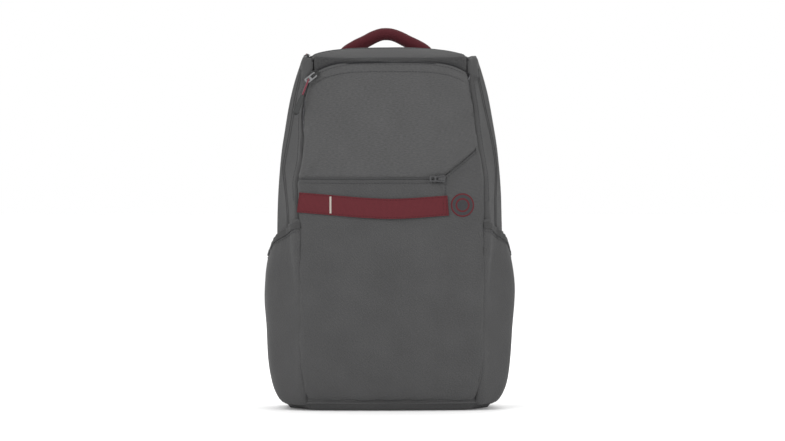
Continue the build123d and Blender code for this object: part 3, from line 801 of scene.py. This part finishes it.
def make_lid():
    """The lid from the zip to the yoke's seam."""
    rows, columns = 40, 90
    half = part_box("lid_panel")[1].x + 0.0003

    def place(i, j):
        x = half * (2 * j / (columns - 1) - 1)
        z = zip_z(x) + 0.0006
        start = front_point(x, z) or Vector((x, -0.038, z))
        y = start.y + (LID_BACK_Y + 0.002 - start.y) * i / (rows - 1)
        return (top_point(x, y) or (x, y, start.z)) if i else start

    points = plot(rows, columns, place)
    size = (0.195, 0.09)
    relief = sewn_relief(rows, columns, size, 41.0, (1, 0, 1, 1), 0.0007, 0.0009)
    for i, j, x, y, _ in cells(points):
        crown = max(0.0, 1 - (abs(x) / half) ** 5) * math.sin(math.pi / 2 * min(1.0, i / 9))
        relief[i, j] += CROWN_LIFT * crown + 0.0007 * wobble(x * 14, y * 14, 3.0)
    piece = shell("lid", points, np.array([0, -0.3, 1.0]), size, lid_cloth_shaded, relief=relief)
    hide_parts("lid_panel")
    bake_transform(piece)
    return piece


lid = make_lid()


def make_yoke():
    """The panel behind the lid: back over the top in its first seven tenths, then down to the back panel."""
    rows, columns = 26, 70
    half = SIDE_SEAM_X - 0.0006
    turn = int(0.7 * (rows - 1))

    def place(i, j):
        x = half * (2 * j / (columns - 1) - 1)
        t = i / (rows - 1)
        if t < 0.7:
            y = LID_BACK_Y + 0.0012 + (0.0765 - LID_BACK_Y - 0.0012) * t / 0.7
            return top_point(x, y) or Vector((x, y, 0.45))
        top = place(turn, j).z
        z = top + (0.4285 - top) * (t - 0.7) / 0.3
        return back_point(x, z) or (x, BACK_Y, z)

    points = smooth_grid(plot(rows, columns, place), 1)
    size = (0.2, 0.055)
    relief = sewn_relief(rows, columns, size, 47.0, (1, 1, 1, 1), 0.0004, 0.0004)
    for i, j, x, _, _ in cells(points):
        share = i / (rows - 1) / 0.7
        relief[i, j] += CROWN_LIFT * max(0.0, 1 - (abs(x) / half) ** 5) * max(0.0, 1 - share) ** 0.7
    piece = shell("yoke", points, outward_from(points, (0, 0, 0.3)), size, lid_cloth_shaded, relief=relief)
    settle(piece, "body", "shell_fabric", "yoke_panel")


make_yoke()


# ---- side pockets
def make_pocket(side_name, sign):
    """A pocket wall that hugs the gusset at its sloping mouth and bulges below it."""
    wall = tree_of(f"side_pocket_{side_name}", f"pocket_binding_{side_name}")
    rows, columns = 60, 64

    def place(i, j):
        angle = math.radians(-55 + 101 * j / (columns - 1))
        out = Vector((sign * math.cos(angle), math.sin(angle), 0))
        slope = min(1.0, max(0.0, (-0.002 - out.y * 0.085) / 0.064))
        top = POCKET_BACK_Z + (POCKET_FRONT_Z - 0.008 - POCKET_BACK_Z) * slope - 0.0015
        start = Vector((sign * 0.060, 0, 0)) + out * 0.16 + Vector((0, 0, 0.0065 + (top - 0.0065) * (i / (rows - 1))))
        return meet(wall, start, -out, 0.15) or meet(skin, start, -out) + out * 0.001

    points = smooth_grid(plot(rows, columns, place), 6)
    size = (0.165, 0.225)
    relief = sewn_relief(rows, columns, size, 60.0 + sign, (1, 0, 1, 1), 0.0016, 0.0012)
    for i in range(rows):
        for j in range(columns):
            below = (1 - i / (rows - 1)) * size[1]
            along = j / (columns - 1) * size[0]
            gather = math.sin(along * 2 * math.pi / 0.011 + 2.5 * wobble(along * 40, sign))
            relief[i, j] += 0.0007 * gather * math.exp(-below / 0.022)
            relief[i, j] += 0.0020 * hump(below - 0.05, 0.03) * wobble(along * 18, below * 14, sign)
    hint = outward_from(points, (sign * 0.05, 0, 0.1))
    piece = shell(f"pocket_{side_name}", points, hint, size, lower_cloth, lining_cloth, 0.0018, relief)
    settle(piece, "body", "twill_fabric", f"side_pocket_{side_name}")
    normals = grid_normals(points, hint)

    def raised(row, lift):
        return [Vector(points[row, j] + normals[row, j] * (relief[row, j] + lift)) for j in range(columns)]

    facing = [Vector(normal) for normal in normals[rows - 3]]
    binding = ribbon(f"pocket_edge_{side_name}", raised(rows - 3, 0.0007), facing, 0.0085, 0.0018, rim_tape)
    settle(binding, "body", "black_webbing", f"pocket_binding_{side_name}")
    sew(f"pocket_stitch_{side_name}", raised(rows - 5, 0.0004), facing)


make_pocket("left", -1)
make_pocket("right", 1)


def make_pouch():
    """The front pocket's bag of lining, hanging inside with its mouth open."""
    (x0, mid_x, x1), (y0, mid_y, y1), (z0, mid_z, z1) = ends("front_pocket_pouch")
    half_x, half_y = (x1 - x0) / 2 - 0.001, (y1 - y0) / 2
    rows, columns = 44, 96

    def place(i, j):
        t, angle = i / (rows - 1), 2 * math.pi * j / columns
        z = z1 - (z1 - z0 - 0.002) * t
        depth = half_y * (1 if t < 0.9 else max(0.12, (1 - t) / 0.1)) - 0.0006
        x = math.copysign(abs(math.cos(angle)) ** 0.35, math.cos(angle)) * half_x
        y = math.copysign(abs(math.sin(angle)) ** 0.7, math.sin(angle)) * depth
        return (mid_x + x, mid_y + y * (1 - 0.35 * abs(wobble(x * 22, z * 16, 4.0))), z)

    points = plot(rows, columns, place)
    outward = outward_from(points, (mid_x, mid_y, mid_z))
    piece = shell("pouch", points, outward, (0.34, 0.19), lining_cloth, lining_cloth, 0.0006, None, True)
    settle(piece, "body", "lining_fabric", "front_pocket_pouch")


make_pouch()


# ---- front strap, patch, flap and pocket zip
def on_front(stations, lift, step=0.004):
    """A smooth line on the front through a few places in x and z, with the surface's normals."""
    flat = smooth_route([(x, 0, z) for x, z in stations], step)
    points, normals = [], []
    for p in flat:
        surface = front_point(p.x, p.z)
        beside, above = front_point(p.x + 0.004, p.z), front_point(p.x, p.z + 0.004)
        normal = (above - surface).cross(beside - surface).normalized()
        if normal.y > 0:
            normal.negate()
        points.append(surface + normal * lift)
        normals.append(normal)
    return points, normals


STRAP_LINE = [(-0.1163, 0.2612), (-0.077, 0.2580), (-0.030, 0.2543), (0.010, 0.2535), (0.0695, 0.2573)]


def make_front_strap():
    route, normals = on_front(STRAP_LINE, 0.0022)
    strap = ribbon("front_band", route, normals, 0.0252, 0.0019, maroon_tape)
    settle(strap, "body", "maroon_webbing", "front_strap")
    for name, offset in (("upper", 0.0108), ("lower", -0.0108)):
        line = on_front([(x, z + offset) for x, z in STRAP_LINE], 0.0031)
        sew(f"band_stitch_{name}", *line, maroon_wrap, "maroon_webbing")
    line, facing = on_front([(-0.0770, 0.2475), (-0.0770, 0.2580), (-0.0770, 0.2685)], 0.0032, 0.002)
    settle(ribbon("bar_tack", line, facing, 0.0024, 0.0010, tack_thread), "body", "maroon_webbing")
    for index, x in enumerate((0.0635, 0.0672)):
        line = on_front([(x, 0.2460), (x, 0.2570), (x, 0.2680)], 0.0031, 0.002)
        sew(f"band_end_stitch_{index}", *line, maroon_wrap, "maroon_webbing")


def make_patch():
    """A round woven patch: a raised maroon border, a charcoal ground and a plain inner ring."""
    (low_x, middle_x, high_x), _, (_, middle_z, _) = ends("round_patch")
    radius = (high_x - low_x) / 2
    rings, spokes = 22, 72
    corners, uv, indices = [], [], []
    for i in range(rings + 1):
        share = i / rings
        lift = 0.0012 + 0.0006 * hump(share - 0.92, 0.07) + 0.0004 * hump(share - 0.5, 0.06) if i < rings else 0.0
        for j in range(spokes):
            angle = 2 * math.pi * j / spokes
            x, z = middle_x + radius * share * math.cos(angle), middle_z + radius * share * math.sin(angle)
            corners.append(front_point(x, z) + Vector((0, -lift, 0)))
            uv.append((angle * 0.012, radius * share))
        if i < rings:
            indices += [1 if share > 0.83 or 0.42 < share < 0.58 else 0] * spokes
    patch = mesh_piece("patch", corners, tiles(rings + 1, spokes), [edge_tape, maroon_tape], uv, indices)
    settle(patch, "body", "maroon_webbing", "round_patch")


def make_flap():
    """The folded band of fabric under the pocket's mouth."""
    rows, columns = 16, 90
    left, right = -sewn_x(-1, 0.28) + TUCK, 0.0668

    def place(i, j):
        x, z = left + (right - left) * j / (columns - 1), 0.2655 + (MOUTH_Z - 0.0012 - 0.2655) * i / (rows - 1)
        return front_point(x, z) + Vector((0, -0.0009, 0))

    size = (0.183, 0.023)
    relief = sewn_relief(rows, columns, size, 71.0, (0, 0, 1, 1), 0.0005, 0.0005)
    relief[-1] -= 0.0008
    groove = np.arange(rows) / (rows - 1) * size[1] - 0.0195
    relief -= 0.0009 * np.exp(-((groove / 0.0009) ** 2))[:, None]
    points = plot(rows, columns, place)
    piece = shell("pocket_flap", points, np.array([0, -1, 0]), size, lower_cloth, lower_cloth, 0.0009, relief)
    settle(piece, "body", "twill_fabric", "front_pocket_flap")
    line = on_front([(left + 0.002, 0.2852), (-0.03, 0.2852), (right - 0.002, 0.2852)], 0.0014)
    sew("flap_stitch", *line, slot="twill_fabric")
    line = on_front([(right, 0.2895), (right, 0.2790), (right, 0.2690)], 0.0014, 0.002)
    sew("flap_end_stitch", *line, slot="twill_fabric")


def teeth(name, route, normals, material, width, height=0.0011):
    """A zip's coil: two rows of small rounded loops that meet in the middle."""
    whole, at = measured(route, normals)
    corners, faces = [], []
    for index in range(int(whole / COIL_PITCH)):
        for sign, shift in ((1, 0.0), (-1, COIL_PITCH / 2)):
            where = index * COIL_PITCH + shift
            centre, normal = at(where), at(where, 1).normalized()
            tangent = (at(where + 0.001) - at(where - 0.001)).normalized()
            side = tangent.cross(normal).normalized() * sign
            base = len(corners)
            for reach, thick, rise in ((-0.0003, 0.28, 0.5), (0.0008, 0.42, 1.0), (width / 2, 0.30, 0.6)):
                for a, b in ((-1, 0), (-0.6, 1), (0.6, 1), (1, 0)):
                    on_tape = centre + side * reach + tangent * (a * COIL_PITCH * thick)
                    corners.append(on_tape + normal * (b * height * rise))
            faces += tiles(3, 4, start=base)
            faces += [[base, base + 3, base + 2, base + 1], [base + 8, base + 9, base + 10, base + 11]]
    return mesh_piece(name, corners, faces, [material])


def lay(name, line, width, thickness, tape=dark_tape, slot="black_webbing", nodes=()):
    """A tape on the bag along a line, given as its places and its normals."""
    settle(ribbon(name, *line, width, thickness, tape), "body", slot, *nodes)


def make_pocket_zip():
    stations = [(-0.1130, MOUTH_Z), (-0.04, MOUTH_Z), (0.03, MOUTH_Z), (0.0700, MOUTH_Z)]
    lay("pocket_zip_tape", on_front(stations, -0.0008), 0.0060, 0.0006, lower_cloth, nodes=["front_zip_tape"])
    coil = teeth("pocket_zip_coil", *on_front(stations, -0.0003), coil_grey, 0.0022, 0.0008)
    settle(coil, "body", "black_plastic")


def make_main_zip():
    stations = [(0.1 * k / 10, zip_z(0.1 * k / 10)) for k in range(-10, 11)]
    lay("main_zip_tape", on_front(stations, -0.0016), 0.0050, 0.0009, nodes=["main_zip"])
    coil = teeth("main_zip_coil", *on_front(stations, -0.0010), acetal, 0.0026)
    settle(coil, "body", "black_plastic", "main_zip_teeth")
    for name, sign in (("left", -1), ("right", 1)):
        x = sign * (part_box("lid_panel")[1].x + SIDE_SEAM_X) / 2
        line = [top_point(x, y) for y in np.linspace(-0.026, LID_BACK_Y, 26)]
        facing = [Vector((sign * 0.4, -0.1, 0.9)).normalized()] * len(line)
        line = [p - n * 0.0018 for p, n in zip(line, facing)]
        lay(f"side_zip_tape_{name}", (line, facing), 0.0052, 0.0009)
        line = [p + n * 0.0006 for p, n in zip(line, facing)]
        settle(teeth(f"side_zip_coil_{name}", line, facing, acetal, 0.0026), "body", "black_plastic")


def sew_on(name, piece, places, direction, body="body"):
    """A row of stitches on a finished piece: each place is dropped on to it along a direction."""
    tree = tree_over([piece.data])
    route, normals = [], []
    for place in places:
        point, normal, *_ = tree.ray_cast(Vector(place), Vector(direction), 0.6)
        if point and normal.dot(Vector(direction)) < 0:
            route.append(point + normal * 0.0001)
            normals.append(normal)
    sew(name, route, normals, body=body)


def make_topstitching():
    steps = np.linspace(-1, 1, 70)
    ahead, down = (0, 1, 0), (0, 0, -1)
    for number, drop in enumerate((0.0040, 0.0135)):
        row = [(0.094 * t, IN_FRONT, zip_z(0.094 * t) - drop) for t in steps]
        sew_on(f"under_zip_{number}", upper_front, row, ahead)
    sew_on("over_zip", lid, [(0.091 * t, IN_FRONT, zip_z(0.091 * t) + 0.0036) for t in steps], ahead, "lid")
    sew_on("lid_fold", lid, [(0.088 * t, LID_BACK_Y - 0.016, OVERHEAD) for t in steps], down, "lid")
    sweep = [(x, IN_FRONT, mouth_z(x) - 0.0035) for x in np.linspace(0.063, 0.108, 30)]
    sew_on("sweep", lower_front, sweep, ahead)
    for name, sign, piece in (("left", -1, gussets[0]), ("right", 1, gussets[1])):
        row = [(sign * (sewn_x(sign, z) + 0.0045), IN_FRONT, z) for z in np.linspace(0.262, 0.410, 60)]
        sew_on(f"gusset_{name}", piece, row, ahead)
        heights = np.linspace(0.030, 0.420, 110)
        row = [(sign * (BACK_STITCH_X - 0.030 * max(0, z - 0.2)), BEHIND, z) for z in heights]
        sew_on(f"back_seam_{name}", back, row, (0, -1, 0))


def make_seam_allowances():
    """The turned-in edges behind each seam, so that no seam shows the dark inside."""

    def turned_in(name, line, width):
        lay(f"seam_allowance_{name}", line, width, 0.0010, lower_cloth, "twill_fabric")

    for name, sign in (("left", -1), ("right", 1)):
        seam = [(sign * sewn_x(sign, z), z) for z in np.linspace(0.014, 0.412, 34)]
        turned_in(name, on_front(seam, -0.0030), 0.011)
    seam = [(x, mouth_z(x)) for x in np.linspace(0.060, sewn_x(1, meeting_height()) - 0.002, 14)]
    turned_in("sweep", on_front(seam, -0.0030), 0.010)
    facing = [Vector((math.cos(angle), math.sin(angle), 0)) for angle in np.linspace(0, 2 * math.pi, 121)]
    line = [meet(skin, Vector((0, BASE_Y, BASE_Z + 0.003)) + out * 0.25, -out) - out * 0.0032 for out in facing]
    turned_in("base", (line, facing), 0.012)


make_seam_allowances()
make_topstitching()
make_front_strap()
make_patch()
make_flap()
make_pocket_zip()
make_main_zip()


# ---- grab handle
def make_handle():
    """A rolled grip: a padded core wrapped in maroon fabric, with its seam along the inside."""
    y = ends("handle_grip")[1][1]
    stations = [(-0.056, 0.4390), (-0.0475, 0.4500), (-0.030, 0.4600), (-0.012, 0.4690), (0, 0.4712)]
    stations += [(-x, z) for x, z in reversed(stations[:-1])]
    route = smooth_route([(x, y, z) for x, z in stations], 0.002)
    sides = 28
    corners, uv, distance = [], [], 0.0
    for index, point in enumerate(route):
        up = Vector((0, 1, 0)).cross(heading(route, index)).normalized()
        up = up if up.z > 0 else -up
        distance += (point - route[index - 1]).length if index else 0
        share = abs(2 * index / (len(route) - 1) - 1)
        half_high = 0.0080 + 0.0014 * share**2
        half_deep = 0.0072 * (1 - 0.55 * max(0.0, (share - 0.93) / 0.07))
        for k in range(sides):
            angle = 2 * math.pi * k / sides
            fold = 1 + 0.035 * wobble(distance * 90, k * 0.35, 5.0) + 0.03 * wobble(distance * 35, k * 0.2, 9.0)
            seam = 1 - 0.10 * hump(angle - 1.5 * math.pi, 0.12)
            rise, reach = half_high * math.sin(angle) * fold * seam, half_deep * math.cos(angle) * fold
            corners.append(point + up * rise + Vector((0, -reach, 0)))
            uv.append((distance, k / sides * 0.048))
    grip = mesh_piece("grip", corners, capped(len(route), sides), [maroon_wrap], uv)
    settle(grip, "handle", "maroon_webbing", "handle_grip")


make_handle()


# ---- padded pieces by cloth simulation
def inflate(name, node, material, body, slot, cap, voxel=0.005):
    """A padded piece: the frame's plain solid, swollen by a short cloth simulation and evened out."""
    obj = link(name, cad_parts[node].data.copy())
    remesh = obj.modifiers.new("remesh", "REMESH")
    remesh.mode = "VOXEL"
    remesh.voxel_size = voxel
    graph = bpy.context.evaluated_depsgraph_get()
    even = bpy.data.meshes.new_from_object(obj.evaluated_get(graph))
    obj.modifiers.clear()
    obj.data = even
    before = np.array([v.co for v in even.vertices])
    cloth = obj.modifiers.new("cloth", "CLOTH")
    cloth.settings.use_pressure = True
    cloth.settings.uniform_pressure_force = 4.0
    cloth.settings.quality = 5
    cloth.settings.mass = 0.3
    cloth.settings.tension_stiffness = cloth.settings.compression_stiffness = 12
    cloth.settings.effector_weights.gravity = 0.0
    for number in range(1, 21):
        bpy.context.scene.frame_set(number)
    graph = bpy.context.evaluated_depsgraph_get()
    swollen = bpy.data.meshes.new_from_object(obj.evaluated_get(graph))
    obj.modifiers.clear()
    bpy.context.scene.frame_set(1)
    move = np.array([v.co for v in swollen.vertices]) - before
    size = np.linalg.norm(move, axis=1, keepdims=True)
    even.vertices.foreach_set("co", (before + move * np.minimum(1.0, cap / np.maximum(size, 1e-9))).ravel())
    tidy = bmesh.new()
    tidy.from_mesh(even)
    bmesh.ops.smooth_vert(tidy, verts=tidy.verts, factor=0.5, use_axis_x=True, use_axis_y=True, use_axis_z=True)
    bmesh.ops.subdivide_edges(tidy, edges=tidy.edges, cuts=1, use_grid_fill=True, smooth=0.8)
    tidy.to_mesh(even)
    tidy.free()
    even.materials.clear()
    even.materials.append(material)
    even.polygons.foreach_set("use_smooth", np.ones(len(even.polygons), dtype=bool))
    settle(obj, body, slot, node)
    return obj


def press(obj, lines, depth):
    """Sews channels into a back pad: it sinks along each line of places in x and z, on its outer side."""
    for vertex in obj.data.vertices:
        x, y, z = vertex.co
        for line in lines:
            closest = min((Vector((p[0], 0, p[1])) - Vector((x, 0, z))).length for p in line)
            if vertex.co.y > BACK_Y + 0.004:
                vertex.co.y -= depth * hump(closest, 0.0035)
    obj.data.update()


def make_pads():
    for name, sign in (("left", -1), ("right", 1)):
        pad = inflate(f"pad_{name}", f"back_pad_{name}", foam_mesh, "body", "mesh_foam", 0.0030)
        middle = sign * 0.057
        press(pad, [[(middle + dx * 0.001, z) for dx in range(-34, 35, 2)] for z in (0.170, 0.250, 0.330)], 0.0045)
    lumbar = inflate("lumbar", "lumbar_pad", foam_mesh, "body", "mesh_foam", 0.0030)
    press(lumbar, [[(x * 0.001, z * 0.001) for z in range(42, 92, 3)] for x in (-40, 40)], 0.004)
    for name in ("left", "right"):
        inflate(f"strap_pad_{name}", f"shoulder_pad_{name}", foam_mesh, f"strap_{name}", "mesh_foam", 0.0008, 0.0045)
    inflate("divider", "laptop_divider", lining_cloth, "body", "lining_fabric", 0.0014)


make_pads()


# ---- harness webbing
def strap_through(name, points, width, body, *nodes, normal=(0, 1, 0), thickness=0.0017, material=dark_tape):
    """A piece of webbing through a few points, facing one way."""
    route = smooth_route(points)
    piece = ribbon(name, route, [Vector(normal)] * len(route), width, thickness, material)
    settle(piece, body, "black_webbing", *nodes)


def make_harness():
    (x0, _, x1), (_, y, y1), (z0, z, z1) = ends("harness_yoke")
    strap_through("yoke_band", [(x0, y, z), (0, y, z), (x1, y, z)], z1 - z0, "body", "harness_yoke", thickness=0.0028)
    for row in (z - 0.009, z + 0.009):
        line = smooth_route([(x0 + 0.003, y1, row), (0, y1, row), (x1 - 0.003, y1, row)])
        sew(f"yoke_stitch_{row:.3f}", line, [Vector((0, 1, 0))] * len(line))
    for name, sign in (("left", -1), ("right", 1)):
        strap = f"strap_{name}"
        node = f"strap_webbing_{name}"
        z0, _, z1 = ends(node)[2]
        top_x, foot_x = sign * 0.1145, sign * 0.1285
        points = [(foot_x, 0.0868, z0), (sign * 0.1215, 0.0930, 0.105), (top_x, 0.1008, z1)]
        strap_through(f"lower_web_{name}", points, WEBBING, strap, node, normal=(0, 1, 0.1))
        node = f"strap_tail_{name}"
        z0, _, z1 = ends(node)[2]
        points = [(top_x, 0.1048, z1), (top_x + 0.001, 0.1062, 0.120), (top_x - 0.001, 0.1058, z0)]
        strap_through(f"tail_{name}", points, WEBBING, strap, node)
        node = f"sternum_rail_{name}"
        (_, rail_x, _), (_, y, _), (z0, _, z1) = ends(node)
        points = [(rail_x, y, z0), (rail_x, y, z1)]
        strap_through(f"rail_{name}", points, 0.008, strap, node, thickness=THIN_WEBBING)
        node = f"sternum_webbing_{name}"
        _, (_, y, _), (z0, _, z1) = ends(node)
        points = [(rail_x, y, z1), (rail_x, y, z0)]
        strap_through(f"sternum_web_{name}", points, 0.020, f"sternum_tail_{name}", node, thickness=THIN_WEBBING)
        node = f"handle_tab_{name}"
        (_, x, _), (_, y, _), (z0, _, z1) = ends(node)
        points = [(x, y, z0), (x, y, z1)]
        strap_through(f"grip_tab_{name}", points, 0.027, "body", node, thickness=0.0036, material=maroon_tape)
        node = f"foot_tab_{name}"
        z0, _, z1 = ends(node)[2]
        points = [(sign * 0.1165, 0.0825, z0), (sign * 0.1175, 0.0825, 0.0255), (foot_x, 0.0835, z1)]
        strap_through(f"foot_{name}", points, WEBBING, "body", node, thickness=0.0030)


make_harness()


# ---- pull cords
def make_pull(name, slider, aside, rise):
    """A doubled cord through a puller's end, with both ends moulded into a soft tab."""
    origin, along, out = (Vector(value) for value in slider)
    along, out = along.normalized(), out.normalized()
    start = origin + along * 0.0108
    run = along * math.cos(math.radians(aside)) + out.cross(along) * math.sin(math.radians(aside))
    near = PIVOT + rise * 0.020
    route = [(0.0206, near + 0.00115), (0.009, (near + PIVOT) / 2 + 0.0022), (-0.0004, PIVOT + 0.0026)]
    route += [(-0.0004, PIVOT - 0.0024), (0.0062, PIVOT - 0.0021), (0.0206, near - 0.00115)]
    points = [start + run * s + out * w for s, w in route]
    curve = bpy.data.curves.new(f"{name}_cord", "CURVE")
    curve.dimensions = "3D"
    curve.bevel_depth = 0.0011
    curve.bevel_resolution = 4
    spline = curve.splines.new("NURBS")
    spline.points.add(len(points) - 1)
    for point, place in zip(spline.points, points):
        point.co = (*place, 1)
    spline.order_u = 3
    spline.use_endpoint_u = True
    curve.materials.append(red_braid)
    cord = settle(link(f"{name}_cord", curve), f"{name}_puller", "red_cord", f"{name}_pull_cord")
    tab = link(f"{name}_tab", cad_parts[f"{name}_pull_tab"].data.copy())
    shape = bmesh.new()
    shape.from_mesh(tab.data)
    bmesh.ops.remove_doubles(shape, verts=shape.verts, dist=0.00005)
    sharp = [edge for edge in shape.edges if edge.is_manifold and edge.calc_face_angle() > 0.4]
    bmesh.ops.bevel(shape, geom=sharp, offset=0.0008, segments=3, affect="EDGES", clamp_overlap=True)
    shape.to_mesh(tab.data)
    shape.free()
    tab.data.materials.clear()
    tab.data.materials.append(rubber)
    settle(tab, f"{name}_puller", "grey_rubber", f"{name}_pull_tab")
    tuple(points[0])


make_pull("main_front", CORNER_SLIDER, 30, 0.29)
make_pull("main_side", SIDE_SLIDER, 0, 0)


# ---- finishes of the frame's own pieces
def repaint(material, *nodes):
    for name in nodes:
        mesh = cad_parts[name].data
        mesh.materials.clear()
        mesh.materials.append(material)


repaint(gunmetal, "main_front_puller", "main_side_puller")
# painted shade: the main sliders take the dark copy of the pullers' gunmetal
repaint(gunmetal_shaded, "main_front_slider", "main_side_slider")
repaint(grey_metal, "front_pocket_slider", "front_pocket_puller")
repaint(
    acetal, "ladder_lock_left", "ladder_lock_right", "sternum_slider_left", "sternum_slider_right",
    "sternum_buckle_socket", "sternum_buckle_plug",
)
repaint(board, "bottom_board", "back_frame_sheet")

# ---- studio
def make_studio():
    world = bpy.data.worlds.new("studio")
    bpy.context.scene.world = world
    world.use_nodes = True
    world.node_tree.nodes["Background"].inputs["Color"].default_value = (1, 1, 1, 1)
    world.node_tree.nodes["Background"].inputs["Strength"].default_value = 1.0
    for name, place, size, power in (
        ("key", (-1.6, -2.4, 2.2), 1.8, 38),
        ("fill", (2.2, -1.8, 1.2), 1.8, 14),
        ("rim", (0.4, 2.2, 2.0), 1.6, 24),
    ):
        lamp = bpy.data.lights.new(name, "AREA")
        lamp.size = size
        lamp.energy = power
        holder = bpy.data.objects.new(name, lamp)
        holder.location = place
        holder.rotation_euler = (Vector((0, 0, 0.22)) - Vector(place)).to_track_quat("-Z", "Y").to_euler()
        bpy.context.collection.objects.link(holder)
    s = Shader("pale_floor")
    patches = s.noise(3, use_uv=False)
    s.finish(s.ramp(patches, [(0.3, (0.90, 0.90, 0.90)), (0.7, (0.92, 0.92, 0.92))]), patches, 0.02, 0.001, 0.8)
    corners = [(-9, -9, 0), (9, -9, 0), (9, 9, 0), (-9, 9, 0)]
    s.surface.inputs["Emission Color"].default_value = (1, 1, 1, 1)
    s.surface.inputs["Emission Strength"].default_value = 0.12
    floor = mesh_piece("floor", corners, [[0, 1, 2, 3]], [s.material], smooth=False)
    floor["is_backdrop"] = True
    scene = bpy.context.scene
    scene.view_settings.view_transform = "Standard"
    scene.view_settings.look = "None"
    scene.view_settings.exposure = 0.0


VIEW_WIDTH = 0.981  # what the camera takes in at the pack's front, in metres
VIEW_CENTRE = Vector((0.0004, -0.08, 0.2388))
VIEW_DISTANCE = 9.0
VIEW_AZIMUTH, VIEW_ELEVATION = math.radians(-2.5), math.radians(1.6)


def make_camera():
    data = bpy.data.cameras.new("camera")
    data.sensor_width = 36
    data.lens = 36 * VIEW_DISTANCE / VIEW_WIDTH
    camera = bpy.data.objects.new("camera", data)
    level = math.cos(VIEW_AZIMUTH) * math.cos(VIEW_ELEVATION)
    back = Vector((math.sin(VIEW_AZIMUTH), -level, math.sin(VIEW_ELEVATION)))
    camera.location = VIEW_CENTRE + back.normalized() * VIEW_DISTANCE
    camera.rotation_euler = (-back).to_track_quat("-Z", "Y").to_euler()
    bpy.context.collection.objects.link(camera)
    bpy.context.scene.camera = camera


make_studio()
make_camera()

# ---- the sizes of the frame and of the finished scene
bpy.context.view_layer.update()
plain = [[list(map(float, corner)) for corner in box] for box in (cad_box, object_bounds())]
